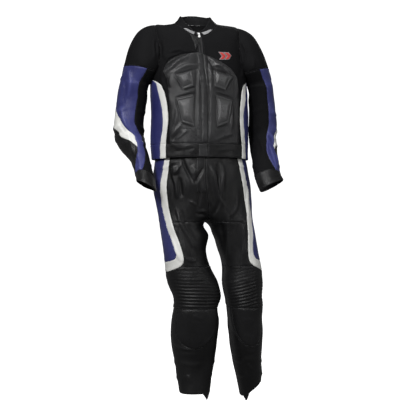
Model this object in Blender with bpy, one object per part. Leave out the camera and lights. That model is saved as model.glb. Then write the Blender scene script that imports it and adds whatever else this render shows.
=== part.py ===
"""A two-piece leather motorcycle race suit, jacket and trousers, in its worn form and hollow.

Metres, +Z up. The front faces -Y and the wearer's left is +X. The origin is the middle of the
neck base, where the wearer's shoulders carry the suit. Every cut piece is a wall of leather
between the seams that bound it: a piece is a grid on the smooth surface of the torso, a sleeve
or a leg, thickened inwards.
"""

import math

import bmesh
import bpy
import numpy as np
from mathutils import Matrix

# Driving dimensions
WALL = 0.0018  # leather with its lining
SEAM_GAP = 0.0003  # between neighbouring pieces
LIFT = 0.0006  # between a panel and what is sewn on it
ZIP_HALF = 0.0085
ARMHOLE_TOP, ARMHOLE_BOTTOM = 2.0, 7.0  # rows of the torso
ARMHOLE_FRONT, ARMHOLE_BACK = 33.0, 36.0  # how far the armhole opens round the torso, degrees
UNDERARM_TURNS = (88.0, 89.3, 92.0)  # where stripe, side panel and back start at the armhole
UNDERARM_GAP = 0.03  # rows between the sleeve's lowest point and the side pieces
CAP_SEAM = 0.75  # sleeve row where the shoulder cap ends
HEM_SEAM, HEM = 10.0, 11.0
CHEST_START = {"L": 2.45, "R": 2.3}
FLAP_START = 2.5
CROTCH_Z = -0.787
KNEE_TOP_Z, STRIPE_END_Z = -0.960, -0.985
RIB_END_Z, PAD_END_Z, LEG_END_Z = -1.125, -1.285, -1.465
KNEE_BACK_Z = -1.030
PULL_ROW, HINGE_HEIGHT = -0.22, 0.0056  # the pull's hinge along the zip, and over it
PULL_TILT = 12.0  # how far the pull leans in to rest on the jacket, degrees
PIN_RADIUS, RING_RADIUS, LUG_X = 0.0009, 0.0021, 0.0036


def table(names, rows):
    """A table with named columns, as one array for each column."""
    values = np.array(rows, dtype=float)
    return {name: values[:, i] for i, name in enumerate(names.split())}


def smooth(at, knots, values):
    """A cubic through the knots whose slope at each is the mean slope of its two sides."""
    at = np.clip(np.asarray(at, dtype=float), knots.min(), knots.max())
    order = np.argsort(knots)
    knots, values = knots[order], values[order]
    steps = np.diff(knots)
    slopes = np.diff(values) / steps
    inner = (slopes[:-1] * steps[1:] + slopes[1:] * steps[:-1]) / (steps[:-1] + steps[1:])
    tangents = np.concatenate([slopes[:1], inner, slopes[-1:]])
    i = np.clip(np.searchsorted(knots, at) - 1, 0, len(steps) - 1)
    t = (at - knots[i]) / steps[i]
    start = (1 + 2 * t) * (1 - t) ** 2 * values[i] + t * (1 - t) ** 2 * steps[i] * tangents[i]
    end = t * t * (3 - 2 * t) * values[i + 1] + t * t * (t - 1) * steps[i] * tangents[i + 1]
    return start + end


# The torso's rings: collar top, neck base, shoulder point, armpit, hem seam and hem are rows
# -1, 0, 2, 7, 10 and 11.
TORSO = table(
    "row z_front z_side z_back half_width front back power mid_x mid_y",
    [
        (-1, -0.034, 0.036, 0.048, 0.060, 0.066, 0.052, 2.0, -0.018, 0.016),
        (0, -0.056, 0.008, 0.014, 0.086, 0.086, 0.070, 2.1, -0.016, 0.016),
        (1, -0.086, -0.001, -0.014, 0.128, 0.102, 0.090, 2.4, -0.014, 0.017),
        (2, -0.115, -0.006, -0.050, 0.165, 0.111, 0.104, 2.6, -0.013, 0.018),
        (3, -0.143, -0.045, -0.086, 0.177, 0.117, 0.112, 2.6, -0.012, 0.016),
        (4, -0.168, -0.090, -0.122, 0.182, 0.121, 0.116, 2.6, -0.011, 0.014),
        (5, -0.192, -0.135, -0.156, 0.185, 0.124, 0.118, 2.6, -0.010, 0.012),
        (6, -0.213, -0.180, -0.190, 0.187, 0.126, 0.118, 2.5, -0.008, 0.010),
        (7, -0.236, -0.222, -0.224, 0.189, 0.127, 0.117, 2.5, -0.005, 0.008),
        (8, -0.300, -0.300, -0.300, 0.195, 0.126, 0.114, 2.5, 0.000, 0.005),
        (9, -0.390, -0.390, -0.390, 0.197, 0.122, 0.112, 2.5, 0.001, 0.002),
        (10, -0.479, -0.483, -0.483, 0.1975, 0.120, 0.114, 2.4, 0.001, 0.000),
        (11, -0.533, -0.541, -0.541, 0.195, 0.119, 0.116, 2.4, 0.000, 0.000),
    ],
)

# Seams of the body panels: chest seam as its distance from the middle, the others in degrees
# round the torso from the front middle. The right chest panel sits higher, near the armhole.
CHEST_SEAM = {
    "L": table("row x", [
        (2.45, 0.0042), (2.8, 0.028), (3.4, 0.056), (4.2, 0.086), (5, 0.108), (6, 0.127), (7, 0.137),
        (8, 0.140), (9, 0.138), (10, 0.138), (11, 0.137),
    ]),
    "R": table("row x", [
        (2.3, 0.0042), (2.45, 0.036), (3.25, 0.091), (4.0, 0.117), (5.0, 0.139), (5.6, 0.147), (6.2, 0.148),
        (7, 0.143), (8, 0.141), (9, 0.138), (10, 0.138), (11, 0.137),
    ]),
}
SIDE_SEAMS = table(
    "row stripe_front stripe_back back",
    [(7, 88.0, 89.3, 92.0), (7.25, 63, 72, 95), (7.6, 52, 66, 98), (8, 47.5, 61, 102), (9, 43, 52.5, 104),
     (10, 48, 59.5, 104), (11, 49, 61, 104)],
)

# The sleeve's sections from the shoulder point (row 0) through the armpit (row 1) to the cuff
# (row 8): the outer and inner ends of each, its middle depth, half depth and forward lean.
CROWN = [
    (0.00, 0.165, -0.006, 0.085, -0.020, 0.018, 0.030, 0),
    (0.25, 0.233, -0.036, 0.112, -0.062, 0.018, 0.066, 0),
    (0.50, 0.272, -0.098, 0.125, -0.128, 0.017, 0.083, 0),
    (0.75, 0.292, -0.163, 0.160, -0.190, 0.015, 0.082, 0),
    (1.00, 0.304, -0.212, 0.189, -0.226, 0.012, 0.073, 0),
]
CROWN_SHIFT = {"L": (-0.016, -0.005), "R": (0.013, 0.005)}  # of the outer and inner ends, outwards


def crown(side):
    """The crown's rows with its ends moved to the side's shoulder and armpit."""
    out, inner = CROWN_SHIFT[side]
    return [(row[0], row[1] + out, row[2], row[3] + inner, *row[4:]) for row in CROWN]


ARM_NAMES = "row out_x out_z in_x in_z y depth lean"
ARMS = {
    "L": table(ARM_NAMES, crown("L") + [
        (2, 0.3085, -0.300, 0.2045, -0.304, 0.022, 0.072, -2),
        (3, 0.3190, -0.372, 0.2065, -0.376, 0.028, 0.069, 0),
        (4, 0.3205, -0.432, 0.2065, -0.434, 0.028, 0.066, 10),
        (5, 0.3175, -0.484, 0.2065, -0.484, 0.010, 0.062, 26),
        (6, 0.3110, -0.537, 0.2060, -0.538, -0.030, 0.052, 36),
        (7, 0.3120, -0.598, 0.2090, -0.604, -0.072, 0.043, 30),
        (8, 0.3190, -0.624, 0.2240, -0.666, -0.098, 0.040, 21),
    ]),
    "R": table(ARM_NAMES, crown("R") + [
        (2, 0.3320, -0.300, 0.2130, -0.304, 0.022, 0.066, -2),
        (3, 0.3405, -0.372, 0.2220, -0.376, 0.028, 0.065, 0),
        (4, 0.3420, -0.432, 0.2255, -0.434, 0.028, 0.064, 10),
        (5, 0.3250, -0.484, 0.2210, -0.484, 0.010, 0.060, 24),
        (6, 0.2840, -0.537, 0.2080, -0.542, -0.030, 0.056, 32),
        (7, 0.2650, -0.598, 0.1910, -0.626, -0.072, 0.050, 30),
        (8, 0.2626, -0.627, 0.1860, -0.667, -0.098, 0.046, 6),
    ]),
}
# Seams of the sleeve's panels, in degrees round the arm from its front, outwards; the twist is
# how far the right arm is turned inwards and the left arm outwards.
SLEEVE_SEAMS = table(
    "row front stripe_top stripe_low back twist",
    [
        (0.75, -2, 146, 146, 146, -10),
        (1.0, -3, 148, 148, 148, -12),
        (1.8, -3, 150, 150, 150, -13),
        (2.3, -3, 112, 150, 150, -13),
        (2.8, -2, 76, 150, 150, -12),
        (3.4, -3, 48, 112, 150, -13),
        (4.1, -14, 28, 72, 150, -18),
        (4.7, -22, 14, 66, 150, -22),
        (5.15, -20, 15, 42, 150, -21),
        (5.5, -18, 17, 30, 150, -17),
        (5.75, -16, 24, 24, 150, -14.5),
        (6.0, -14, 32, 32, 150, -12),
        (6.5, 3, 62, 62, 150, -6),
        (7.0, 28, 88, 88, 150, 0),
    ],
)
STRIPE_ROWS = (1.8, 5.75)  # the white stripe's two tips
ELBOW_ROW = 2.8  # the elbow panel's upper tip

# The legs' sections: outer edge and middle in x, middle in y, and half depths. Above the crotch
# a section's inner part is cut off by the middle plane.
LEG_NAMES = "z outer centre mid_y front back rise"
LEGS = {
    "L": table(LEG_NAMES, [
        (-0.470, 0.1740, 0.0020, 0.000, 0.098, 0.100, 0),
        (-0.560, 0.1890, 0.0030, 0.000, 0.110, 0.111, 0),
        (-0.660, 0.2025, 0.0140, 0.002, 0.116, 0.122, 0),
        (-0.720, 0.2085, 0.0500, 0.004, 0.112, 0.120, 0),
        (-0.760, 0.2115, 0.0860, 0.004, 0.106, 0.115, 0),
        (-0.787, 0.2140, 0.1174, 0.004, 0.102, 0.110, 0),
        (-0.840, 0.2250, 0.1400, 0.004, 0.100, 0.104, 0),
        (-0.900, 0.2360, 0.1570, 0.004, 0.100, 0.100, 0),
        (-0.960, 0.2470, 0.1720, 0.002, 0.100, 0.098, 0),
        (-1.030, 0.2540, 0.1745, -0.002, 0.098, 0.096, 0),
        (-1.080, 0.2510, 0.1755, -0.006, 0.098, 0.096, 0),
        (-1.125, 0.2550, 0.1810, -0.004, 0.096, 0.094, 0),
        (-1.170, 0.2520, 0.1825, 0.004, 0.093, 0.096, 0),
        (-1.220, 0.2545, 0.1870, 0.014, 0.090, 0.098, 0),
        (-1.285, 0.2545, 0.1915, 0.024, 0.085, 0.095, 0),
        (-1.350, 0.2530, 0.1975, 0.034, 0.073, 0.083, 0),
        (-1.410, 0.2570, 0.2085, 0.040, 0.064, 0.072, 0.010),
        (-1.465, 0.2560, 0.2150, 0.042, 0.060, 0.066, 0.030),
    ]),
    "R": table(LEG_NAMES, [
        (-0.470, -0.1710, 0.0020, 0.000, 0.098, 0.100, 0),
        (-0.560, -0.1850, 0.0030, 0.000, 0.110, 0.111, 0),
        (-0.660, -0.1885, 0.0020, 0.002, 0.116, 0.122, 0),
        (-0.720, -0.1780, -0.0200, 0.004, 0.112, 0.120, 0),
        (-0.760, -0.1690, -0.0480, 0.004, 0.106, 0.115, 0),
        (-0.787, -0.1640, -0.0716, 0.003, 0.102, 0.110, 0),
        (-0.840, -0.1550, -0.0615, -0.004, 0.099, 0.100, 0),
        (-0.900, -0.1480, -0.0625, -0.012, 0.097, 0.093, 0),
        (-0.960, -0.1440, -0.0540, -0.020, 0.092, 0.086, 0),
        (-1.030, -0.1345, -0.0340, -0.030, 0.088, 0.080, 0),
        (-1.080, -0.1150, -0.0190, -0.035, 0.086, 0.078, 0),
        (-1.125, -0.1130, -0.0235, -0.035, 0.082, 0.076, 0),
        (-1.170, -0.1180, -0.0235, -0.030, 0.080, 0.080, 0),
        (-1.220, -0.1197, -0.0255, -0.022, 0.076, 0.084, 0),
        (-1.285, -0.1140, -0.0247, -0.012, 0.072, 0.082, 0),
        (-1.350, -0.1030, -0.0235, -0.005, 0.063, 0.070, 0),
        (-1.410, -0.0925, -0.0237, -0.005, 0.057, 0.060, 0),
        (-1.465, -0.0840, -0.0220, -0.010, 0.055, 0.056, 0),
    ]),
}
MIDDLE_PLANE = table(
    "z x", [(-0.47, 0.002), (-0.56, 0.003), (-0.66, 0.007), (-0.72, 0.0155), (-0.76, 0.020), (-0.787, 0.0208)]
)
LEG_POWER = 2.15
LEG_SIDE_BACK = 104.0  # the seam between side and back, degrees round the leg
# The stripe's two edges, as distances from the leg's outer edge, and its hook at the knee.
STRIPE_EDGES = table(
    "z front back",
    [(-0.47, 0.046, 0.026), (-0.56, 0.046, 0.026), (-0.672, 0.040, 0.018), (-0.7635, 0.037, 0.0145),
     (-0.82, 0.044, 0.020), (-0.88, 0.056, 0.032), (-0.915, 0.062, 0.038)],
)
STRIPE_HOOK = table(
    "z front back",
    [(-0.915, 0, 0), (-0.938, 0, 0.30), (-0.950, 0.04, 1), (-0.960, 0.13, 1), (-0.972, 0.38, 1),
     (-0.981, 0.68, 1), (-0.985, 1, 1)],
)
PAD_EDGES = table(
    "z inner outer",
    [(-1.125, -60, 58), (-1.18, -58, 58), (-1.23, -44, 52), (-1.265, -22, 36), (-1.285, 2, 10)],
)
TAIL = {"turn": -44.0, "half": 23.0, "drop": 0.027}


def signed_power(value, power):
    return np.sign(value) * np.abs(value) ** power


def torso(row, turn):
    """The point of the torso at a row, turn degrees round it from the front to the wearer's left."""
    at = {name: smooth(row, TORSO["row"], TORSO[name]) for name in TORSO}
    sine, cosine = np.sin(np.radians(turn)), np.cos(np.radians(turn))
    across = signed_power(sine, 2 / at["power"])
    along = signed_power(cosine, 2 / at["power"])
    depth = np.where(cosine > 0, at["front"], at["back"])
    end = np.where(cosine > 0, at["z_front"], at["z_back"])
    x = at["mid_x"] + at["half_width"] * across
    y = at["mid_y"] - depth * along
    z = at["z_side"] + (end - at["z_side"]) * along**2
    return np.stack(np.broadcast_arrays(x, y, z), axis=-1)


def turn_at(row, x):
    """How far round the torso a front point lies that is x from its middle."""
    width = smooth(row, TORSO["row"], TORSO["half_width"])
    power = smooth(row, TORSO["row"], TORSO["power"])
    return np.degrees(np.arcsin(np.clip(x / width, 0, 1) ** (power / 2)))


def armhole_turn(row, opening):
    """The armhole is an ellipse over the torso's rows and turns, round the side at 90 degrees."""
    middle = (ARMHOLE_TOP + ARMHOLE_BOTTOM) / 2
    half = (ARMHOLE_BOTTOM - ARMHOLE_TOP) / 2
    return 90 + opening * np.sqrt(np.clip(1 - ((row - middle) / half) ** 2, 0, 1))


def armhole(side, row, back):
    """The armhole's front or back point at a sleeve row from 0, the shoulder, to 1, the armpit."""
    middle = (ARMHOLE_TOP + ARMHOLE_BOTTOM) / 2
    half = (ARMHOLE_BOTTOM - ARMHOLE_TOP) / 2
    torso_row = middle - half * np.cos(np.pi * np.clip(row, 0, 1))
    torso_row = np.minimum(torso_row, ARMHOLE_BOTTOM - UNDERARM_GAP)
    turn = 90 + np.where(back, ARMHOLE_BACK, -ARMHOLE_FRONT) * np.sin(np.pi * np.clip(row, 0, 1))
    turn = turn if side == "L" else 360 - turn
    return torso_row, turn


def arm_ellipse(side, row, turn):
    """A point of the sleeve's elliptical section."""
    arm = ARMS[side]
    at = {name: smooth(row, arm["row"], arm[name]) for name in arm}
    sign = 1 if side == "L" else -1
    out = np.stack([sign * at["out_x"], at["y"], at["out_z"]], axis=-1)
    inner = np.stack([sign * at["in_x"], at["y"], at["in_z"]], axis=-1)
    lean = np.radians(at["lean"])
    front = np.stack([0 * lean, -np.cos(lean), np.sin(lean)], axis=-1)
    sine, cosine = np.sin(np.radians(turn)), np.cos(np.radians(turn))
    return (out + inner) / 2 + (out - inner) / 2 * sine[..., None] + front * (at["depth"] * cosine)[..., None]


def arm_ends(side, row):
    """The turns where a section meets the armhole: at the inner side once the sleeve is closed."""
    arm = ARMS[side]
    sign = 1 if side == "L" else -1
    at = {name: smooth(row, arm["row"], arm[name]) for name in arm}
    front = torso(*armhole(side, row, False))
    back = torso(*armhole(side, row, True))
    chord = (front + back) / 2
    centre_x, centre_z = (at["out_x"] + at["in_x"]) / 2, (at["out_z"] + at["in_z"]) / 2
    half_x, half_z = (at["out_x"] - at["in_x"]) / 2, (at["out_z"] - at["in_z"]) / 2
    along = (sign * chord[..., 0] - centre_x) * half_x + (chord[..., 2] - centre_z) * half_z
    sine = np.clip(along / (half_x**2 + half_z**2), -1, 1)
    start = np.where(np.asarray(row) < 1, np.degrees(np.arcsin(sine)), -90.0)
    return start, 180 - start


def sleeve(side, row, turn):
    """The point of a sleeve. Above the armpit the section's two ends are drawn to the armhole."""
    row, turn = np.broadcast_arrays(np.asarray(row, float), np.asarray(turn, float))
    held = np.minimum(row, 1.0)
    start, end = arm_ends(side, held)
    share = np.clip((turn - start) / np.maximum(end - start, 1e-9), 0, 1)[..., None]
    to_front = torso(*armhole(side, held, False)) - arm_ellipse(side, held, start)
    to_back = torso(*armhole(side, held, True)) - arm_ellipse(side, held, end)
    fade = np.clip(2 - row, 0, 1)[..., None]
    fade = fade * fade * (3 - 2 * fade)
    return arm_ellipse(side, row, turn) + fade * ((1 - share) * to_front + share * to_back)


def leg_row(side, z):
    leg = LEGS[side]
    return {name: smooth(z, leg["z"], leg[name]) for name in leg}


def leg_start(side, z):
    """The turn where a leg's section begins: at the middle plane, or at the inseam below the crotch."""
    at = leg_row(side, z)
    plane = smooth(z, MIDDLE_PLANE["z"], MIDDLE_PLANE["x"])
    across = np.clip((plane - at["centre"]) / (at["outer"] - at["centre"]), -1, 1)
    cut = np.degrees(np.arcsin(signed_power(across, LEG_POWER / 2)))
    return np.where(np.asarray(z) > CROTCH_Z + 1e-6, cut, -90.0)


def leg(side, z, turn):
    """The point of a leg at a height, turn degrees round it from the front, outwards."""
    z, turn = np.broadcast_arrays(np.asarray(z, float), np.asarray(turn, float))
    at = leg_row(side, z)
    sine, cosine = np.sin(np.radians(turn)), np.cos(np.radians(turn))
    across = signed_power(sine, 2 / LEG_POWER)
    along = signed_power(cosine, 2 / LEG_POWER)
    x = at["centre"] + (at["outer"] - at["centre"]) * across
    y = at["mid_y"] - np.where(cosine > 0, at["front"], at["back"]) * along
    low = np.clip((LEG_END_Z + 0.055 - z) / 0.055, 0, 1)
    tail = np.clip(1 - np.abs((turn + 180) % 360 - 180 - TAIL["turn"]) / TAIL["half"], 0, 1)
    height = z + at["rise"] * across - TAIL["drop"] * low**2 * tail
    return np.stack([x, y, height], axis=-1)


def stripe_turn(side, z, edge):
    """The turn of the stripe's front or back edge, with the hook that closes it at the knee."""
    at = leg_row(side, z)
    half = np.abs(at["outer"] - at["centre"])
    inset = smooth(z, STRIPE_EDGES["z"], STRIPE_EDGES[edge])
    turn = np.degrees(np.arcsin(np.clip(1 - inset / half, 0, 1) ** (LEG_POWER / 2)))
    hook = smooth(z, STRIPE_HOOK["z"], STRIPE_HOOK[edge])
    return turn + hook * (LEG_SIDE_BACK - turn)


def normals(surface, first, second, sign):
    """Unit normals of a surface of two parameters, from its slopes along both."""
    step_first, step_second = 1e-4, 0.05
    down = surface(first + step_first, second) - surface(first - step_first, second)
    round_ = surface(first, second + step_second) - surface(first, second - step_second)
    cross = sign * np.cross(down, round_)
    return cross / np.maximum(np.linalg.norm(cross, axis=-1, keepdims=True), 1e-15)


def torso_grid(rows, turns):
    rows = np.broadcast_to(np.asarray(rows, float)[:, None], turns.shape)
    return torso(rows, turns), normals(torso, rows, turns, 1)


def sleeve_grid(side, rows, turns):
    """A sleeve's points and normals; at the armhole it has the torso's normals, so the walls meet."""
    rows = np.broadcast_to(np.asarray(rows, float)[:, None], turns.shape)
    sign = 1 if side == "L" else -1
    points = sleeve(side, rows, turns)
    found = normals(lambda r, t: sleeve(side, r, t), np.maximum(rows, 0.04), turns, sign)
    start, end = arm_ends(side, rows)
    for back, edge in ((False, start), (True, end)):
        at_armhole = (rows <= 1 + 1e-9) & (np.abs(turns - edge) < 1e-6)
        row, turn = armhole(side, rows, back)
        found = np.where(at_armhole[..., None], normals(torso, row, turn, 1), found)
    return points, found


def leg_grid(side, rows, turns):
    rows = np.broadcast_to(np.asarray(rows, float)[:, None], turns.shape)
    sign = -1 if side == "L" else 1
    return leg(side, rows, turns), normals(lambda z, t: leg(side, z, t), rows, turns, sign)


def between(left, right, cells):
    """Columns evenly spaced between two seams: an array with a row for each row of the grid."""
    left, right = np.asarray(left, float), np.asarray(right, float)
    share = np.linspace(0, 1, cells + 1)
    return left[:, None] * (1 - share) + right[:, None] * share


def weld(grids):
    """The grids' points and normals with coincident ones made one, and their cells as polygons."""
    keys, points, norms, cells = {}, [], [], []
    for grid_points, grid_normals in grids:
        index = np.empty(grid_points.shape[:2], int)
        for i, j in np.ndindex(index.shape):
            key = tuple(np.round(grid_points[i, j] * 1e5 + 0.137).astype(int))
            index[i, j] = keys.setdefault(key, len(points))
            if index[i, j] == len(points):
                points.append(grid_points[i, j])
                norms.append(grid_normals[i, j])
        one, other = grid_points[1:, 1:] - grid_points[:-1, :-1], grid_points[1:, :-1] - grid_points[:-1, 1:]
        outwards = (np.cross(other, one) * grid_normals[1:, 1:]).sum() > 0
        for i, j in np.ndindex(index.shape[0] - 1, index.shape[1] - 1):
            corners = [index[i, j], index[i + 1, j], index[i + 1, j + 1], index[i, j + 1]]
            cell = [c for k, c in enumerate(corners) if c != corners[k - 1]]
            if len(set(cell)) == len(cell) and len(cell) > 2:
                cells.append(cell if outwards else cell[::-1])
    return np.array(points), np.array(norms), cells


def edge_shifts(points, norms, edges, inset):
    """How far each border point moves inwards, so that every border line moves in by the inset."""
    pulls = {}
    for (a, b), cell in edges.items():
        line = points[b] - points[a]
        inward = points[cell].mean(axis=0) - (points[a] + points[b]) / 2
        normal = norms[a] + norms[b]
        inward = np.cross(normal, line) * np.sign(np.dot(np.cross(normal, line), inward))
        inward /= np.linalg.norm(inward)
        pulls.setdefault(a, []).append(inward)
        pulls.setdefault(b, []).append(inward)
    shifts = np.zeros_like(points)
    for i, found in pulls.items():
        total = np.sum(found, axis=0)
        shifts[i] = inset * total * len(found) / max(np.dot(total, total), 0.6)
    return shifts


def cloth(name, grids, material, wall=WALL, lift=0.0, inset=SEAM_GAP / 2):
    """A cut piece: the welded grids with their borders drawn in for the seams, and a wall inwards.

    A lift above zero puts the piece on top of the surface, for what is sewn on a panel.
    """
    points, norms, cells = weld(grids)
    directed = {}
    for cell in cells:
        for k in range(len(cell)):
            directed[(cell[k - 1], cell[k])] = cell
    edges = {edge: cell for edge, cell in directed.items() if (edge[1], edge[0]) not in directed}
    base = points + edge_shifts(points, norms, edges, inset)
    outer = base + norms * (lift + wall if lift > 0 else lift)
    inner = outer - norms * wall
    count = len(points)
    halves = [half for cell in cells for half in split(points, norms, cell)]
    faces = halves + [[i + count for i in reversed(half)] for half in halves]
    for a, b in edges:
        # Both neighbours split the wall along the same diagonal, so twisted walls stay apart.
        if tuple(points[a]) < tuple(points[b]):
            faces += [[b, a, b + count], [a, a + count, b + count]]
        else:
            faces += [[b, a, a + count], [b, a + count, b + count]]
    mesh = bpy.data.meshes.new(name)
    mesh.from_pydata(np.concatenate([outer, inner]).tolist(), [], faces)
    mesh.update()
    return add(name, mesh, material)


def split(points, norms, cell):
    """A cell's triangles, split along the diagonal that lies farther out, as a stretched skin does."""
    if len(cell) == 3:
        return [cell]
    a, b, c, d = cell
    if np.dot(points[a] + points[c] - points[b] - points[d], norms[a]) > 0:
        return [[a, b, c], [a, c, d]]
    return [[b, c, d], [b, d, a]]


def add(name, mesh, material):
    mesh.shade_smooth()
    mesh.set_sharp_from_angle(angle=math.radians(40))
    obj = bpy.data.objects.new(name, mesh)
    obj.data.materials.append(material)
    bpy.context.scene.collection.objects.link(obj)
    return obj


def finish(name, colour, roughness, metallic=0.0):
    material = bpy.data.materials.new(name)
    material.use_nodes = True
    shader = material.node_tree.nodes["Principled BSDF"]
    shader.inputs["Base Color"].default_value = (*colour, 1)
    shader.inputs["Roughness"].default_value = roughness
    shader.inputs["Metallic"].default_value = metallic
    return material


def side_turns(side, turns):
    """Turns counted to the wearer's own side made turns round the torso."""
    return turns if side == "L" else 360 - turns


def crown_rows(count):
    """Torso rows level with evenly spaced armhole points, from its top to the armpit."""
    middle = (ARMHOLE_TOP + ARMHOLE_BOTTOM) / 2
    return middle - (ARMHOLE_BOTTOM - middle) * np.cos(np.pi * np.linspace(0, 1, count + 1))


CROWN_STEPS = 8
SHOULDER_ROWS = [0, 0.6, 1.3]
BODY_ROWS = [7.25, 7.6, 8, 9, 10]
HEM_ROWS = np.array([10, 10.5, 11])
YOKE_END = 1.3  # row where the back yoke ends


def make_jacket(look):
    rows = np.concatenate([SHOULDER_ROWS, crown_rows(CROWN_STEPS), BODY_ROWS])
    low = rows[rows >= ARMHOLE_BOTTOM]
    back = rows[rows >= YOKE_END]
    hem = HEM_ROWS

    for side in "LR":
        def strip(at, left, right, cells, side=side):
            return [torso_grid(at, side_turns(side, between(left, right, cells)))]

        start = CHEST_START[side]
        chest_rows = np.concatenate([[start], rows[rows > start]])
        yoke_rows = np.unique(np.concatenate([rows, [start]]))
        chest = strip(chest_rows, zip_edge(chest_rows), chest_edge(side, chest_rows), 4)
        cloth(f"front_chest_{side}", chest, look["shiny"])
        inner = np.where(yoke_rows <= start, zip_edge(yoke_rows), chest_edge(side, yoke_rows))
        cloth(f"front_yoke_{side}", strip(yoke_rows, inner, yoke_edge(yoke_rows), 4), look["matt"])
        stripe = strip(low, body_seam(low, "stripe_front"), body_seam(low, "stripe_back"), 1)
        cloth(f"side_stripe_{side}", stripe, look["white"])
        panel = strip(low, body_seam(low, "stripe_back"), body_seam(low, "back"), 2)
        cloth(f"side_panel_{side}", panel, look["blue"])
        front = strip(hem, zip_edge(hem), body_seam(hem, "stripe_front"), 5)
        cloth(f"hem_front_{side}", front, look["shiny"])
        stripe = strip(hem, body_seam(hem, "stripe_front"), body_seam(hem, "stripe_back"), 1)
        cloth(f"hem_stripe_{side}", stripe, look["white"])
        panel = strip(hem, body_seam(hem, "stripe_back"), body_seam(hem, "back"), 2)
        cloth(f"hem_side_{side}", panel, look["blue"])

    yoke = rows[rows <= YOKE_END]
    cloth("back_yoke", [torso_grid(yoke, between(90 + 0 * yoke, 270 + 0 * yoke, 6))], look["blue"])
    cloth("back_panel", [torso_grid(back, between(back_edge(back), 360 - back_edge(back), 6))], look["shiny"])
    edge = body_seam(hem, "back")
    cloth("hem_back", [torso_grid(hem, between(edge, 360 - edge, 6))], look["shiny"])
    collar_rows = np.array([-1, -0.5, 0])
    edge = zip_edge(collar_rows)
    turns = joined([edge, 90 + 0 * edge, 270 + 0 * edge, 360 - edge], [4, 6, 4])
    cloth("collar", [torso_grid(collar_rows, turns)], look["matt"])
    make_trims(look, rows)


def body_seam(at, name):
    return smooth(at, SIDE_SEAMS["row"], SIDE_SEAMS[name])


def zip_edge(at):
    return turn_at(at, ZIP_HALF)


def chest_edge(side, at):
    seam = CHEST_SEAM[side]
    return turn_at(at, smooth(at, seam["row"], seam["x"]))


def yoke_edge(at):
    hole = np.minimum(armhole_turn(at, -ARMHOLE_FRONT), UNDERARM_TURNS[0])
    below = np.where(at <= ARMHOLE_BOTTOM, hole, body_seam(at, "stripe_front"))
    return np.where(at <= ARMHOLE_TOP, 90.0, below)


def back_edge(at):
    hole = np.maximum(armhole_turn(at, ARMHOLE_BACK), UNDERARM_TURNS[2])
    below = np.where(at <= ARMHOLE_BOTTOM, hole, body_seam(at, "back"))
    return np.where(at <= ARMHOLE_TOP, 90.0, below)


def make_trims(look, rows):
    """What lies on the front: the zip, its flaps, the chest pads, the badge and the collar patches."""
    sewn = {"wall": 0.0016, "lift": LIFT}
    strip_rows = np.concatenate([[-0.9, -0.5], rows[rows < HEM_SEAM], HEM_ROWS])
    edge = zip_edge(strip_rows)
    tape = torso_grid(strip_rows, between(-edge, edge, 1))
    cloth("front_zip", [tape], look["zip"], lift=-0.0008, wall=0.0010)
    flap_rows = rows[(rows > FLAP_START) & (rows < HEM_SEAM)]
    flap_rows = np.concatenate([[FLAP_START], flap_rows, [HEM_SEAM - 0.03]])
    cloth("zip_flap", [front_patch(flap_rows, -0.016, 0.0065, 1)], look["shiny"], **sewn)
    tab_rows = HEM_ROWS + np.array([0.05, 0, -0.04])
    cloth("hem_tab", [front_patch(tab_rows, -0.026, 0.0065, 1)], look["shiny"], **sewn)
    flap = NECK_FLAP
    cloth("neck_flap", [front_patch(flap["row"], flap["right"], flap["left"], 2)], look["matt"], **sewn)
    for side in "LR":
        for name, corners in PADS.items():
            pad = corner_patch(corners, 3, 3, side)
            cloth(f"{name}_{side}", [pad], look["shiny"], wall=0.0030, lift=LIFT)
        patch = corner_patch(COLLAR_PATCH, 1, 3, side)
        cloth(f"collar_patch_{side}", [patch], look["grey"], wall=0.0010, lift=0.0012)
    cloth("chest_badge", [corner_patch(BADGE, 1, 3, "L")], look["red"], wall=0.0012, lift=LIFT)


def front_patch(rows, low_x, high_x, cells):
    """A strip on the front between two distances from the middle, to the wearer's left above zero."""
    turns = [np.sign(x) * turn_at(rows, np.abs(x)) for x in (low_x, high_x)]
    return torso_grid(rows, between(turns[0], turns[1], cells))


def corner_patch(corners, down, across, side):
    """A four-sided patch on the front, from its corners' rows and distances from the middle."""
    (r0, x0), (r1, x1), (r2, x2), (r3, x3) = corners
    t, s = np.meshgrid(np.linspace(0, 1, down + 1), np.linspace(0, 1, across + 1), indexing="ij")
    rows = (1 - t) * ((1 - s) * r0 + s * r1) + t * ((1 - s) * r3 + s * r2)
    xs = (1 - t) * ((1 - s) * x0 + s * x1) + t * ((1 - s) * x3 + s * x2)
    turns = side_turns(side, turn_at(rows, xs))
    return torso(rows, turns), normals(torso, rows, turns, 1)


# Corners as (row, distance from the middle): inner top, outer top, outer bottom, inner bottom.
PADS = {
    "chest_pad_upper": [(5.2, 0.044), (6.6, 0.119), (7.6, 0.083), (7.42, 0.044)],
    "chest_pad_lower": [(7.9, 0.045), (8.12, 0.111), (9.08, 0.091), (9.28, 0.045)],
}
BADGE = [(2.45, 0.071), (3.10, 0.119), (4.0, 0.119), (3.55, 0.072)]
COLLAR_PATCH = [(-0.66, 0.013), (-0.34, 0.046), (-0.06, 0.058), (-0.10, 0.020)]
# The flap at the neck, as distances from the middle towards the wearer's left.
NECK_FLAP = table(
    "row right left",
    [(0.05, -0.037, -0.011), (0.5, -0.031, -0.007), (0.95, -0.025, -0.002), (1.62, -0.023, -0.016),
     (1.93, -0.0225, -0.0205)],
)


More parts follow.
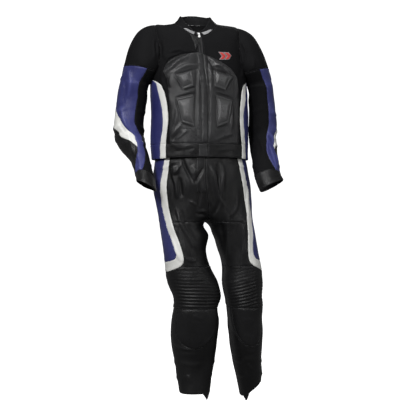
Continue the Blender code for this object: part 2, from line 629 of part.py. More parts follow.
def make_sleeves(look):
    crown = np.linspace(0, 1, CROWN_STEPS + 1)
    cap_rows = crown[crown <= CAP_SEAM]
    arm_rows = [1.4, 1.8, 2.3, 2.8, 3.4, 4.1, 4.7, 5.15, 5.5, 5.75, 6.25, 7.0]
    rows = np.concatenate([crown[crown >= CAP_SEAM], arm_rows])
    cuff_rows = np.array([7, 7.5, 8])
    white = (rows >= STRIPE_ROWS[0]) & (rows <= STRIPE_ROWS[1])
    elbow = rows >= ELBOW_ROW

    for side in "LR":
        twist = 1 if side == "R" else -1

        def seam(at, name, twist=twist):
            turns = smooth(at, SLEEVE_SEAMS["row"], SLEEVE_SEAMS[name])
            return turns + twist * smooth(at, SLEEVE_SEAMS["row"], SLEEVE_SEAMS["twist"])

        def strip(at, left, right, cells, side=side):
            return sleeve_grid(side, at, between(left, right, cells))

        front, back = seam(rows, "front"), seam(rows, "back")
        top = np.minimum(seam(rows, "stripe_top"), back)
        low = np.where(rows < STRIPE_ROWS[1], np.minimum(seam(rows, "stripe_low"), back), top)
        start, end = arm_ends(side, rows)
        cloth(f"sleeve_blue_{side}", [strip(rows, front, top, 5)], look["blue"])
        cloth(f"sleeve_stripe_{side}", [strip(rows[white], top[white], low[white], 2)], look["white"])
        cloth(f"sleeve_elbow_{side}", [strip(rows[elbow], low[elbow], back[elbow], 3)], look["shiny"])
        inner = [strip(rows, back, end, 3), strip(rows, start, front, 3)]
        cloth(f"sleeve_inner_{side}", inner, look["matt"])

        shares = [(turn - start[0]) / (end[0] - start[0]) for turn in (front[0], back[0])]
        cap_start, cap_end = arm_ends(side, cap_rows)
        seams = [cap_start] + [cap_start + share * (cap_end - cap_start) for share in shares] + [cap_end]
        cap = joined(seams, [3, 5, 3])
        cloth(f"shoulder_cap_{side}", [sleeve_grid(side, cap_rows, cap)], look["matt"])
        seams = [turn + 0 * cuff_rows for turn in (-90, front[-1], low[-1], back[-1], 270)]
        cuff = joined(seams, [3, 5, 3, 3])
        cloth(f"cuff_{side}", [sleeve_grid(side, cuff_rows, cuff)], look["shiny"])


def joined(seams, cells):
    """Columns of several neighbouring pieces as one, so that a piece across their ends matches them."""
    parts = [between(seams[i], seams[i + 1], count) for i, count in enumerate(cells)]
    return np.concatenate([parts[0]] + [part[:, 1:] for part in parts[1:]], axis=1)


def make_trousers(look):
    hip_rows = [-0.47, -0.56, -0.62, -0.67, -0.71, -0.74, -0.765, -0.779, CROTCH_Z]
    thigh_rows = [-0.82, -0.87, -0.915, -0.938, -0.950, KNEE_TOP_Z]
    hook_rows = [-0.972, -0.981, STRIPE_END_Z]
    back_rows = np.array(hip_rows + [-0.82, -0.87, -0.915, KNEE_TOP_Z, KNEE_BACK_Z])
    rib_rows = np.array([KNEE_TOP_Z] + hook_rows + [KNEE_BACK_Z, -1.08, RIB_END_Z])
    shin_rows = np.array([RIB_END_Z, -1.18, -1.23, -1.265, PAD_END_Z])
    ankle_rows = np.array([PAD_END_Z, -1.35, -1.41, -1.44, LEG_END_Z])

    for side in "LR":
        def strip(at, left, right, cells, side=side):
            return leg_grid(side, at, between(left, right, cells))

        rows = np.array(hip_rows + thigh_rows)
        front, back = stripe_turn(side, rows, "front"), stripe_turn(side, rows, "back")
        start = leg_start(side, rows)
        cloth(f"thigh_front_{side}", [strip(rows, start, front, 5)], look["shiny"])
        white = np.array(hip_rows + thigh_rows + hook_rows)
        edges = stripe_turn(side, white, "front"), stripe_turn(side, white, "back")
        cloth(f"leg_stripe_{side}", [strip(white, *edges, 2)], look["white"])
        blue = rows[rows >= -0.9501]
        side_back = LEG_SIDE_BACK + 0 * blue
        cloth(f"leg_blue_{side}", [strip(blue, stripe_turn(side, blue, "back"), side_back, 2)], look["blue"])
        side_back = LEG_SIDE_BACK + 0 * back_rows
        thigh_back = strip(back_rows, side_back, 180 - leg_start(side, back_rows), 5)
        cloth(f"thigh_back_{side}", [thigh_back], look["shiny"])
        edge = np.where(rib_rows >= STRIPE_END_Z, stripe_turn(side, rib_rows, "front"), LEG_SIDE_BACK)
        cloth(f"knee_ribs_{side}", [strip(rib_rows, -90 + 0 * rib_rows, edge, 6)], look["matt"])
        pad_inner = smooth(shin_rows, PAD_EDGES["z"], PAD_EDGES["inner"])
        pad_outer = smooth(shin_rows, PAD_EDGES["z"], PAD_EDGES["outer"])
        cloth(f"knee_pad_{side}", [strip(shin_rows, pad_inner, pad_outer, 5)], look["shiny"])
        inseam, side_seam = -90 + 0 * shin_rows, LEG_SIDE_BACK + 0 * shin_rows
        low = between([pad_inner[-1]] * len(ankle_rows), [pad_outer[-1]] * len(ankle_rows), 5)
        shin = [
            strip(shin_rows, inseam, pad_inner, 4),
            strip(shin_rows, pad_outer, side_seam, 2),
            strip(ankle_rows, -90 + 0 * ankle_rows, pad_inner[-1] + 0 * ankle_rows, 4),
            leg_grid(side, ankle_rows, low),
            strip(ankle_rows, pad_outer[-1] + 0 * ankle_rows, LEG_SIDE_BACK + 0 * ankle_rows, 2),
        ]
        cloth(f"shin_{side}", shin, look["shiny"])
        calf_rows = [KNEE_BACK_Z, -1.08, RIB_END_Z, -1.18, -1.23, PAD_END_Z, -1.35, -1.41, LEG_END_Z]
        calf_rows = np.array(calf_rows)
        calf = strip(calf_rows, LEG_SIDE_BACK + 0 * calf_rows, 270 + 0 * calf_rows, 5)
        cloth(f"calf_{side}", [calf], look["shiny"])

    fly_rows = np.array([-0.49, -0.56, -0.62, -0.67])
    cloth("fly", [fly_patch(fly_rows)], look["shiny"], wall=0.0016, lift=LIFT)


def fly_patch(rows):
    """A strip beside the middle seam, on the right trouser front."""
    start = leg_start("R", rows)
    return leg_grid("R", rows, between(start + 0.5, start + 10, 2))


def zip_place():
    """Where the pull's hinge is over the zip, with the directions down along the zip and outwards."""
    point = torso(np.array(PULL_ROW), np.array(0.0))
    above = torso(np.array(PULL_ROW - 0.25), np.array(0.0))
    below = torso(np.array(PULL_ROW + 0.35), np.array(0.0))
    down = (below - above) * [0, 1, 1]
    down /= np.linalg.norm(down)
    out = np.cross(down, [1.0, 0.0, 0.0])
    return point + out * HINGE_HEIGHT, down, out


def prism(name, outline, width):
    """A solid whose outline, as (down, out) in the hinge's frame, is carried across in x."""
    return solid(name, [(x, down, out) for x in (-width / 2, width / 2) for down, out in outline])


def solid(name, points):
    """A solid between two like outlines, the first half of the points and the second."""
    count = len(points) // 2
    faces = [list(range(count)), list(range(2 * count - 1, count - 1, -1))]
    faces += [[(i + 1) % count, i, i + count, (i + 1) % count + count] for i in range(count)]
    mesh = bpy.data.meshes.new(name)
    mesh.from_pydata(points, [], faces)
    facing_out = bmesh.new()
    facing_out.from_mesh(mesh)
    bmesh.ops.recalc_face_normals(facing_out, faces=facing_out.faces)
    facing_out.to_mesh(mesh)
    facing_out.free()
    obj = bpy.data.objects.new(name, mesh)
    bpy.context.scene.collection.objects.link(obj)
    return obj


def circle(radius, start=0.0, end=360.0, steps=20):
    turns = np.radians(np.linspace(start, end, steps, endpoint=end - start < 360))
    return [(radius * math.sin(t), radius * math.cos(t)) for t in turns]


def combine(obj, others, operation):
    for other in others:
        modifier = obj.modifiers.new(other.name, "BOOLEAN")
        modifier.operation = operation
        modifier.solver = "EXACT"
        modifier.object = other
        other.hide_render = True


def make_zip_pull(look):
    """The slider with two lugs and a pin, and the pull tab whose ring turns on the pin."""
    place, down, out = zip_place()
    body = [(-0.0095, 0.0008), (0.0025, 0.0008), (0.0040, 0.0019), (0.0025, 0.0030), (-0.0080, 0.0030)]
    body = [(along, out - HINGE_HEIGHT) for along, out in body + [(-0.0105, 0.0019)]]
    slider = prism("zip_slider", body, 0.0090)
    lug = [(0.0018, -0.0030)] + circle(PIN_RADIUS + 0.0009, 90, -90, 11) + [(-0.0018, -0.0030)]
    lugs = []
    for x in (-LUG_X, LUG_X):
        piece = prism(f"lug_{x:+.4f}", lug, 0.0012)
        piece.location = (x, 0, 0)
        lugs.append(piece)
    pin = prism("pin", circle(PIN_RADIUS), 2 * LUG_X)
    combine(slider, lugs + [pin], "UNION")

    knuckle = prism("zip_pull", circle(RING_RADIUS, steps=24), 2 * LUG_X - 0.0020)
    hole = prism("ring_hole", circle(PIN_RADIUS + 0.0004, steps=24), 0.02)
    plate = tab_plate()
    combine(knuckle, [plate], "UNION")
    combine(knuckle, [hole], "DIFFERENCE")

    turn = np.eye(4)
    turn[:3, 0], turn[:3, 1], turn[:3, 2] = (-1, 0, 0), down, out
    turn[:3, 3] = place
    matrix = Matrix(turn.tolist())
    tilt = Matrix.Rotation(math.radians(-PULL_TILT), 4, "X")
    for obj in [slider, pin] + lugs:
        obj.matrix_world = matrix @ Matrix.Translation(obj.location)
    for obj in (knuckle, hole, plate):
        obj.matrix_world = matrix @ tilt
    for obj, material in ((slider, look["metal"]), (knuckle, look["pull"])):
        obj.data.materials.append(material)
        obj.data.shade_smooth()
        obj.data.set_sharp_from_angle(angle=math.radians(40))


def tab_plate():
    """The tab's teardrop, wider towards its lower end."""
    widths = table(
        "half_width down",
        [(0.0022, 0.0012), (0.0022, 0.0030), (0.0028, 0.0055), (0.0036, 0.0080), (0.0042, 0.0105),
         (0.0044, 0.0130), (0.0040, 0.0150), (0.0028, 0.0163), (0.0010, 0.0168)],
    )
    sides = list(zip(widths["half_width"], widths["down"]))
    outline = sides + [(-w, d) for w, d in reversed(sides)]
    return solid("tab_plate", [(x, d, z) for z in (-0.0006, 0.0006) for x, d in outline])


def clear_scene():
    for obj in list(bpy.data.objects):
        bpy.data.objects.remove(obj)


def main():
    clear_scene()
    look = {
        "shiny": finish("black_leather", (0.030, 0.030, 0.032), 0.42),
        "matt": finish("matt_black_leather", (0.012, 0.012, 0.013), 0.6),
        "blue": finish("blue_leather", (0.030, 0.032, 0.150), 0.45),
        "white": finish("white_leather", (0.78, 0.78, 0.76), 0.45),
        "red": finish("red_badge", (0.55, 0.04, 0.04), 0.5),
        "grey": finish("grey_patch", (0.45, 0.45, 0.46), 0.55),
        "zip": finish("black_zip", (0.02, 0.02, 0.02), 0.5),
        "metal": finish("zip_metal", (0.60, 0.60, 0.61), 0.3, 1.0),
        "pull": finish("pull_enamel", (0.80, 0.80, 0.80), 0.35),
    }
    make_jacket(look)
    make_sleeves(look)
    make_trousers(look)
    make_zip_pull(look)


main()
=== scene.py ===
# A two-piece leather race suit, worn and hollow: every cut panel is a thin shell on the frame's own form.
# Metres, +Z up, front towards -Y, the wearer's left towards +X.
import math

import bpy
import numpy as np
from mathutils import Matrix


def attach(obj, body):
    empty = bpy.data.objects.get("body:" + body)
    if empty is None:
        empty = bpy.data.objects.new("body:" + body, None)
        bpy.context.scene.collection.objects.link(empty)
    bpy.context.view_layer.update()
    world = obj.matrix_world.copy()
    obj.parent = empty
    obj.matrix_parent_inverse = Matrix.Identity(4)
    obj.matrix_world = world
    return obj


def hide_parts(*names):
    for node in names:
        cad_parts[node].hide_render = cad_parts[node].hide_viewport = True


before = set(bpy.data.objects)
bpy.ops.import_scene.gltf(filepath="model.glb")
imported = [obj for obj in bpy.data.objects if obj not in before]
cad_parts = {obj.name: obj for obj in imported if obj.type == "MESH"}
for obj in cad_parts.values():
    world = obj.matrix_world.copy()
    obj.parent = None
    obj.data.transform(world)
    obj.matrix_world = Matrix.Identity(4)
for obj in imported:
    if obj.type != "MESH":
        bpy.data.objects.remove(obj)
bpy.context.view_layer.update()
print("frame loaded:", len(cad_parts), "nodes")

# the form that the panels lie on: rows and turns of the torso and sleeves, heights and turns of the legs
form = {
    "wall": 0.0018,  # leather with its lining
    "lift": 0.0006,  # between a panel and what is sewn on it
    "zipHalf": 0.0085,
    "armholeTop": 2.0,
    "armholeBottom": 7.0,
    "armholeFront": 33.0,  # how far the armhole opens round the torso, degrees
    "armholeBack": 36.0,
    "underarm": (88.0, 89.3, 92.0),
    "underarmGap": 0.03,
    "capTop": 0.004,  # where the shoulder cap starts, just past the point where its rows close
    "capSeam": 0.75,
    "chestStart": {"L": 2.45, "R": 2.3},
    "flapStart": 2.5,
    "yokeEnd": 1.3,
    "hip": -0.470,  # how far up the trousers are built inside the jacket
    "blueEnd": -0.950,
    "crotch": -0.787,
    "kneeTop": -0.960,
    "kneeBack": -1.030,
    "stripeEnd": -0.985,
    "ribEnd": -1.125,
    "padEnd": -1.285,
    "legEnd": -1.465,
    "legPower": 2.15,
    "sideBack": 104.0,
}


def table(names, rows):
    # one array for each name, from rows of numbers
    values = np.array(rows, dtype=float)
    return {name: values[:, i] for i, name in enumerate(names.split())}


def smooth(at, knots, values):
    # a cubic through the knots whose slope at each is the mean slope of its two sides
    at = np.clip(np.asarray(at, dtype=float), knots.min(), knots.max())
    order = np.argsort(knots)
    knots, values = knots[order], values[order]
    steps = np.diff(knots)
    slopes = np.diff(values) / steps
    inner = (slopes[:-1] * steps[1:] + slopes[1:] * steps[:-1]) / (steps[:-1] + steps[1:])
    tangents = np.concatenate([slopes[:1], inner, slopes[-1:]])
    i = np.clip(np.searchsorted(knots, at) - 1, 0, len(steps) - 1)
    t = (at - knots[i]) / steps[i]
    start = (1 + 2 * t) * (1 - t) ** 2 * values[i] + t * (1 - t) ** 2 * steps[i] * tangents[i]
    end = t * t * (3 - 2 * t) * values[i + 1] + t * t * (t - 1) * steps[i] * tangents[i + 1]
    return start + end


# rings of the torso: collar top, neck base, shoulder, armpit, hem seam and hem are rows -1, 0, 2, 7, 10, 11
torsoRings = table(
    "row zFront zSide zBack halfWidth front back power midX midY",
    [
        (-1, -0.034, 0.036, 0.048, 0.060, 0.066, 0.052, 2.0, -0.018, 0.016),
        (0, -0.056, 0.008, 0.014, 0.086, 0.086, 0.070, 2.1, -0.016, 0.016),
        (1, -0.086, -0.001, -0.014, 0.128, 0.102, 0.090, 2.4, -0.014, 0.017),
        (2, -0.115, -0.006, -0.050, 0.165, 0.111, 0.104, 2.6, -0.013, 0.018),
        (3, -0.143, -0.045, -0.086, 0.177, 0.117, 0.112, 2.6, -0.012, 0.016),
        (4, -0.168, -0.090, -0.122, 0.182, 0.121, 0.116, 2.6, -0.011, 0.014),
        (5, -0.192, -0.135, -0.156, 0.185, 0.124, 0.118, 2.6, -0.010, 0.012),
        (6, -0.213, -0.180, -0.190, 0.187, 0.126, 0.118, 2.5, -0.008, 0.010),
        (7, -0.236, -0.222, -0.224, 0.189, 0.127, 0.117, 2.5, -0.005, 0.008),
        (8, -0.300, -0.300, -0.300, 0.195, 0.126, 0.114, 2.5, 0.000, 0.005),
        (9, -0.390, -0.390, -0.390, 0.197, 0.122, 0.112, 2.5, 0.001, 0.002),
        (10, -0.479, -0.483, -0.483, 0.1975, 0.120, 0.114, 2.4, 0.001, 0.000),
        (11, -0.533, -0.541, -0.541, 0.195, 0.119, 0.116, 2.4, 0.000, 0.000),
    ],
)
chestSeams = {
    "L": table("row x", [
        (2.45, 0.0042), (2.8, 0.028), (3.4, 0.056), (4.2, 0.086), (5, 0.108), (6, 0.127), (7, 0.137),
        (8, 0.140), (9, 0.138), (10, 0.138), (11, 0.137),
    ]),
    "R": table("row x", [
        (2.3, 0.0042), (2.45, 0.036), (3.25, 0.091), (4.0, 0.117), (5.0, 0.139), (5.6, 0.147), (6.2, 0.148),
        (7, 0.143), (8, 0.141), (9, 0.138), (10, 0.138), (11, 0.137),
    ]),
}
sideSeams = table(
    "row stripeFront stripeBack back",
    [(7, 88.0, 89.3, 92.0), (7.25, 63, 72, 95), (7.6, 52, 66, 98), (8, 47.5, 61, 102), (9, 43, 52.5, 104),
     (10, 48, 59.5, 104), (11, 49, 61, 104)],
)

# sections of the sleeves, from the shoulder point (row 0) through the armpit (row 1) to the cuff (row 8)
armNames = "row outX outZ inX inZ y depth lean"
crownRows = [
    (0.00, 0.165, -0.006, 0.085, -0.020, 0.018, 0.030, 0),
    (0.25, 0.233, -0.036, 0.112, -0.062, 0.018, 0.066, 0),
    (0.50, 0.272, -0.098, 0.125, -0.128, 0.017, 0.083, 0),
    (0.75, 0.292, -0.163, 0.160, -0.190, 0.015, 0.082, 0),
    (1.00, 0.304, -0.212, 0.189, -0.226, 0.012, 0.073, 0),
]


def crown(outShift, inShift):
    # the crown's rows with its ends moved outwards to the side's shoulder and armpit
    return [(row[0], row[1] + outShift, row[2], row[3] + inShift, *row[4:]) for row in crownRows]


arms = {
    "L": table(armNames, crown(-0.016, -0.005) + [
        (2, 0.3085, -0.300, 0.2045, -0.304, 0.022, 0.072, -2),
        (3, 0.3190, -0.372, 0.2065, -0.376, 0.028, 0.069, 0),
        (4, 0.3205, -0.432, 0.2065, -0.434, 0.028, 0.066, 10),
        (5, 0.3175, -0.484, 0.2065, -0.484, 0.010, 0.062, 26),
        (6, 0.3110, -0.537, 0.2060, -0.538, -0.030, 0.052, 36),
        (7, 0.3120, -0.598, 0.2090, -0.604, -0.072, 0.043, 30),
        (8, 0.3190, -0.624, 0.2240, -0.666, -0.098, 0.040, 21),
    ]),
    "R": table(armNames, crown(0.013, 0.005) + [
        (2, 0.3320, -0.300, 0.2130, -0.304, 0.022, 0.066, -2),
        (3, 0.3405, -0.372, 0.2220, -0.376, 0.028, 0.065, 0),
        (4, 0.3420, -0.432, 0.2255, -0.434, 0.028, 0.064, 10),
        (5, 0.3250, -0.484, 0.2210, -0.484, 0.010, 0.060, 24),
        (6, 0.2840, -0.537, 0.2080, -0.542, -0.030, 0.056, 32),
        (7, 0.2650, -0.598, 0.1910, -0.626, -0.072, 0.050, 30),
        (8, 0.2626, -0.627, 0.1860, -0.667, -0.098, 0.046, 6),
    ]),
}
sleeveSeams = table(
    "row front stripeTop stripeLow back twist",
    [
        (0.75, -2, 146, 146, 146, -10),
        (1.0, -3, 148, 148, 148, -12),
        (1.8, -3, 150, 150, 150, -13),
        (2.3, -3, 112, 150, 150, -13),
        (2.8, -2, 76, 150, 150, -12),
        (3.4, -3, 48, 112, 150, -13),
        (4.1, -14, 28, 72, 150, -18),
        (4.7, -22, 14, 66, 150, -22),
        (5.15, -20, 15, 42, 150, -21),
        (5.5, -18, 17, 30, 150, -17),
        (5.75, -16, 24, 24, 150, -14.5),
        (6.0, -14, 32, 32, 150, -12),
        (6.5, 3, 62, 62, 150, -6),
        (7.0, 28, 88, 88, 150, 0),
    ],
)
stripeTips = (1.8, 5.75)
elbowTip = 2.8

# sections of the legs: outer edge and middle in x, middle in y, half depths
legNames = "z outer centre midY front back rise"
legs = {
    "L": table(legNames, [
        (-0.470, 0.1740, 0.0020, 0.000, 0.098, 0.100, 0),
        (-0.560, 0.1890, 0.0030, 0.000, 0.110, 0.111, 0),
        (-0.660, 0.2025, 0.0140, 0.002, 0.116, 0.122, 0),
        (-0.720, 0.2085, 0.0500, 0.004, 0.112, 0.120, 0),
        (-0.760, 0.2115, 0.0860, 0.004, 0.106, 0.115, 0),
        (-0.787, 0.2140, 0.1174, 0.004, 0.102, 0.110, 0),
        (-0.840, 0.2250, 0.1400, 0.004, 0.100, 0.104, 0),
        (-0.900, 0.2360, 0.1570, 0.004, 0.100, 0.100, 0),
        (-0.960, 0.2470, 0.1720, 0.002, 0.100, 0.098, 0),
        (-1.030, 0.2540, 0.1745, -0.002, 0.098, 0.096, 0),
        (-1.080, 0.2510, 0.1755, -0.006, 0.098, 0.096, 0),
        (-1.125, 0.2550, 0.1810, -0.004, 0.096, 0.094, 0),
        (-1.170, 0.2520, 0.1825, 0.004, 0.093, 0.096, 0),
        (-1.220, 0.2545, 0.1870, 0.014, 0.090, 0.098, 0),
        (-1.285, 0.2545, 0.1915, 0.024, 0.085, 0.095, 0),
        (-1.350, 0.2530, 0.1975, 0.034, 0.073, 0.083, 0),
        (-1.410, 0.2570, 0.2085, 0.040, 0.064, 0.072, 0.010),
        (-1.465, 0.2560, 0.2150, 0.042, 0.060, 0.066, 0.030),
    ]),
    "R": table(legNames, [
        (-0.470, -0.1710, 0.0020, 0.000, 0.098, 0.100, 0),
        (-0.560, -0.1850, 0.0030, 0.000, 0.110, 0.111, 0),
        (-0.660, -0.1885, 0.0020, 0.002, 0.116, 0.122, 0),
        (-0.720, -0.1780, -0.0200, 0.004, 0.112, 0.120, 0),
        (-0.760, -0.1690, -0.0480, 0.004, 0.106, 0.115, 0),
        (-0.787, -0.1640, -0.0716, 0.003, 0.102, 0.110, 0),
        (-0.840, -0.1550, -0.0615, -0.004, 0.099, 0.100, 0),
        (-0.900, -0.1480, -0.0625, -0.012, 0.097, 0.093, 0),
        (-0.960, -0.1440, -0.0540, -0.020, 0.092, 0.086, 0),
        (-1.030, -0.1345, -0.0340, -0.030, 0.088, 0.080, 0),
        (-1.080, -0.1150, -0.0190, -0.035, 0.086, 0.078, 0),
        (-1.125, -0.1130, -0.0235, -0.035, 0.082, 0.076, 0),
        (-1.170, -0.1180, -0.0235, -0.030, 0.080, 0.080, 0),
        (-1.220, -0.1197, -0.0255, -0.022, 0.076, 0.084, 0),
        (-1.285, -0.1140, -0.0247, -0.012, 0.072, 0.082, 0),
        (-1.350, -0.1030, -0.0235, -0.005, 0.063, 0.070, 0),
        (-1.410, -0.0925, -0.0237, -0.005, 0.057, 0.060, 0),
        (-1.465, -0.0840, -0.0220, -0.010, 0.055, 0.056, 0),
    ]),
}
middlePlane = table(
    "z x", [(-0.47, 0.002), (-0.56, 0.003), (-0.66, 0.007), (-0.72, 0.0155), (-0.76, 0.020), (-0.787, 0.0208)]
)
stripeEdges = table(
    "z front back",
    [(-0.47, 0.046, 0.026), (-0.56, 0.046, 0.026), (-0.672, 0.040, 0.018), (-0.7635, 0.037, 0.0145),
     (-0.82, 0.044, 0.020), (-0.88, 0.056, 0.032), (-0.915, 0.062, 0.038)],
)
stripeHook = table(
    "z front back",
    [(-0.915, 0, 0), (-0.938, 0, 0.30), (-0.950, 0.04, 1), (-0.960, 0.13, 1), (-0.972, 0.38, 1),
     (-0.981, 0.68, 1), (-0.985, 1, 1)],
)
padEdges = table(
    "z inner outer",
    [(-1.125, -60, 58), (-1.18, -58, 58), (-1.23, -44, 52), (-1.265, -22, 36), (-1.285, 2, 10)],
)
trouserTail = {"turn": -44.0, "half": 23.0, "drop": 0.027}


def signedPower(value, power):
    # the size raised to the power, with the sign kept
    return np.sign(value) * np.abs(value) ** power


def torso(row, turn):
    # a superellipse ring at a row, its height swinging from the side's to the front's or back's
    at = {name: smooth(row, torsoRings["row"], torsoRings[name]) for name in torsoRings}
    sine, cosine = np.sin(np.radians(turn)), np.cos(np.radians(turn))
    across = signedPower(sine, 2 / at["power"])
    along = signedPower(cosine, 2 / at["power"])
    depth = np.where(cosine > 0, at["front"], at["back"])
    end = np.where(cosine > 0, at["zFront"], at["zBack"])
    x = at["midX"] + at["halfWidth"] * across
    y = at["midY"] - depth * along
    z = at["zSide"] + (end - at["zSide"]) * along**2
    return np.stack(np.broadcast_arrays(x, y, z), axis=-1)


def turnAt(row, x):
    # the turn of a front point that lies x from the middle
    width = smooth(row, torsoRings["row"], torsoRings["halfWidth"])
    power = smooth(row, torsoRings["row"], torsoRings["power"])
    return np.degrees(np.arcsin(np.clip(x / width, 0, 1) ** (power / 2)))


def armholeTurn(row, opening):
    # the armhole is an ellipse over rows and turns round the side at 90 degrees
    middle = (form["armholeTop"] + form["armholeBottom"]) / 2
    half = (form["armholeBottom"] - form["armholeTop"]) / 2
    return 90 + opening * np.sqrt(np.clip(1 - ((row - middle) / half) ** 2, 0, 1))


def armhole(side, row, back):
    # the armhole's front or back point at a sleeve row from the shoulder to the armpit
    middle = (form["armholeTop"] + form["armholeBottom"]) / 2
    half = (form["armholeBottom"] - form["armholeTop"]) / 2
    angle = np.pi * np.clip(row, 0, 1)
    torsoRow = np.minimum(middle - half * np.cos(angle), form["armholeBottom"] - form["underarmGap"])
    turn = 90 + (form["armholeBack"] if back else -form["armholeFront"]) * np.sin(angle)
    return torsoRow, turn if side == "L" else 360 - turn


def armEllipse(side, row, turn):
    # an ellipse between the outer and the inner point, whose front leans up or down
    arm = arms[side]
    at = {name: smooth(row, arm["row"], arm[name]) for name in arm}
    sign = 1 if side == "L" else -1
    out = np.stack([sign * at["outX"], at["y"], at["outZ"]], axis=-1)
    inner = np.stack([sign * at["inX"], at["y"], at["inZ"]], axis=-1)
    lean = np.radians(at["lean"])
    front = np.stack([0 * lean, -np.cos(lean), np.sin(lean)], axis=-1)
    sine, cosine = np.sin(np.radians(turn)), np.cos(np.radians(turn))
    return (out + inner) / 2 + (out - inner) / 2 * sine[..., None] + front * (at["depth"] * cosine)[..., None]


def armEnds(side, row):
    # the turns where a section meets the armhole, or the inner side once the sleeve is closed
    arm = arms[side]
    sign = 1 if side == "L" else -1
    at = {name: smooth(row, arm["row"], arm[name]) for name in arm}
    chord = (torso(*armhole(side, row, False)) + torso(*armhole(side, row, True))) / 2
    centreX, centreZ = (at["outX"] + at["inX"]) / 2, (at["outZ"] + at["inZ"]) / 2
    halfX, halfZ = (at["outX"] - at["inX"]) / 2, (at["outZ"] - at["inZ"]) / 2
    along = (sign * chord[..., 0] - centreX) * halfX + (chord[..., 2] - centreZ) * halfZ
    sine = np.clip(along / (halfX**2 + halfZ**2), -1, 1)
    start = np.where(np.asarray(row) < 1, np.degrees(np.arcsin(sine)), -90.0)
    return start, 180 - start


def sleeve(side, row, turn):
    # an elliptical section; above the armpit its two ends are drawn to the armhole
    row, turn = np.broadcast_arrays(np.asarray(row, float), np.asarray(turn, float))
    past = np.clip((row - 0.8) / 0.4, 0, 1)
    held = np.minimum(row, 0.8) + 0.4 * (past - past**2 / 2)
    start, end = armEnds(side, held)
    share = np.clip((turn - start) / np.maximum(end - start, 1e-9), 0, 1)[..., None]
    toFront = torso(*armhole(side, held, False)) - armEllipse(side, held, start)
    toBack = torso(*armhole(side, held, True)) - armEllipse(side, held, end)
    fade = np.clip(2 - row, 0, 1)[..., None]
    fade = fade * fade * (3 - 2 * fade)
    return armEllipse(side, row, turn) + fade * ((1 - share) * toFront + share * toBack)


def legRow(side, z):
    # every measure of the leg's section at a height
    return {name: smooth(z, legs[side]["z"], legs[side][name]) for name in legs[side]}


def legStart(side, z):
    # the turn where a section begins: at the middle plane, or at the inseam below the crotch
    at = legRow(side, z)
    plane = smooth(z, middlePlane["z"], middlePlane["x"])
    across = np.clip((plane - at["centre"]) / (at["outer"] - at["centre"]), -1, 1)
    cut = np.degrees(np.arcsin(signedPower(across, form["legPower"] / 2)))
    return np.where(np.asarray(z) > form["crotch"] + 1e-6, cut, -90.0)


def leg(side, z, turn):
    # a superellipse section, its hem risen outwards and dropped in a short tail at the inner front
    z, turn = np.broadcast_arrays(np.asarray(z, float), np.asarray(turn, float))
    at = legRow(side, z)
    sine, cosine = np.sin(np.radians(turn)), np.cos(np.radians(turn))
    across = signedPower(sine, 2 / form["legPower"])
    along = signedPower(cosine, 2 / form["legPower"])
    x = at["centre"] + (at["outer"] - at["centre"]) * across
    y = at["midY"] - np.where(cosine > 0, at["front"], at["back"]) * along
    low = np.clip((form["legEnd"] + 0.055 - z) / 0.055, 0, 1)
    tail = np.clip(1 - np.abs((turn + 180) % 360 - 180 - trouserTail["turn"]) / trouserTail["half"], 0, 1)
    return np.stack([x, y, z + at["rise"] * across - trouserTail["drop"] * low**2 * tail], axis=-1)


def stripeTurn(side, z, edge):
    # the turn of the stripe's front or back edge, with the hook that closes it at the knee
    at = legRow(side, z)
    inset = smooth(z, stripeEdges["z"], stripeEdges[edge])
    across = np.clip(1 - inset / np.abs(at["outer"] - at["centre"]), 0, 1)
    turn = np.degrees(np.arcsin(across ** (form["legPower"] / 2)))
    hook = smooth(z, stripeHook["z"], stripeHook[edge])
    return turn + hook * (form["sideBack"] - turn)


def sideTurns(side, turns):
    # turns run towards the left side, so the right side's are counted back from 360
    return turns if side == "L" else 360 - turns


def bodySeam(at, name):
    # the turn of a side seam at a row
    return smooth(at, sideSeams["row"], sideSeams[name])


def zipEdge(at):
    # the turn where a front panel meets the zip
    return turnAt(at, form["zipHalf"])


def chestEdge(side):
    # the turn of the chest panel's outer seam, which is drawn as a distance from the middle
    return lambda at: turnAt(at, smooth(at, chestSeams[side]["row"], chestSeams[side]["x"]))


def yokeEdge(at):
    # the front's outer edge: the shoulder, then the armhole, then the white stripe
    hole = np.minimum(armholeTurn(at, -form["armholeFront"]), form["underarm"][0])
    below = np.where(at <= form["armholeBottom"], hole, bodySeam(at, "stripeFront"))
    return np.where(at <= form["armholeTop"], 90.0, below)


def backEdge(at):
    # the back's outer edge: the shoulder, then the armhole, then the side seam
    hole = np.maximum(armholeTurn(at, form["armholeBack"]), form["underarm"][2])
    below = np.where(at <= form["armholeBottom"], hole, bodySeam(at, "back"))
    return np.where(at <= form["armholeTop"], 90.0, below)


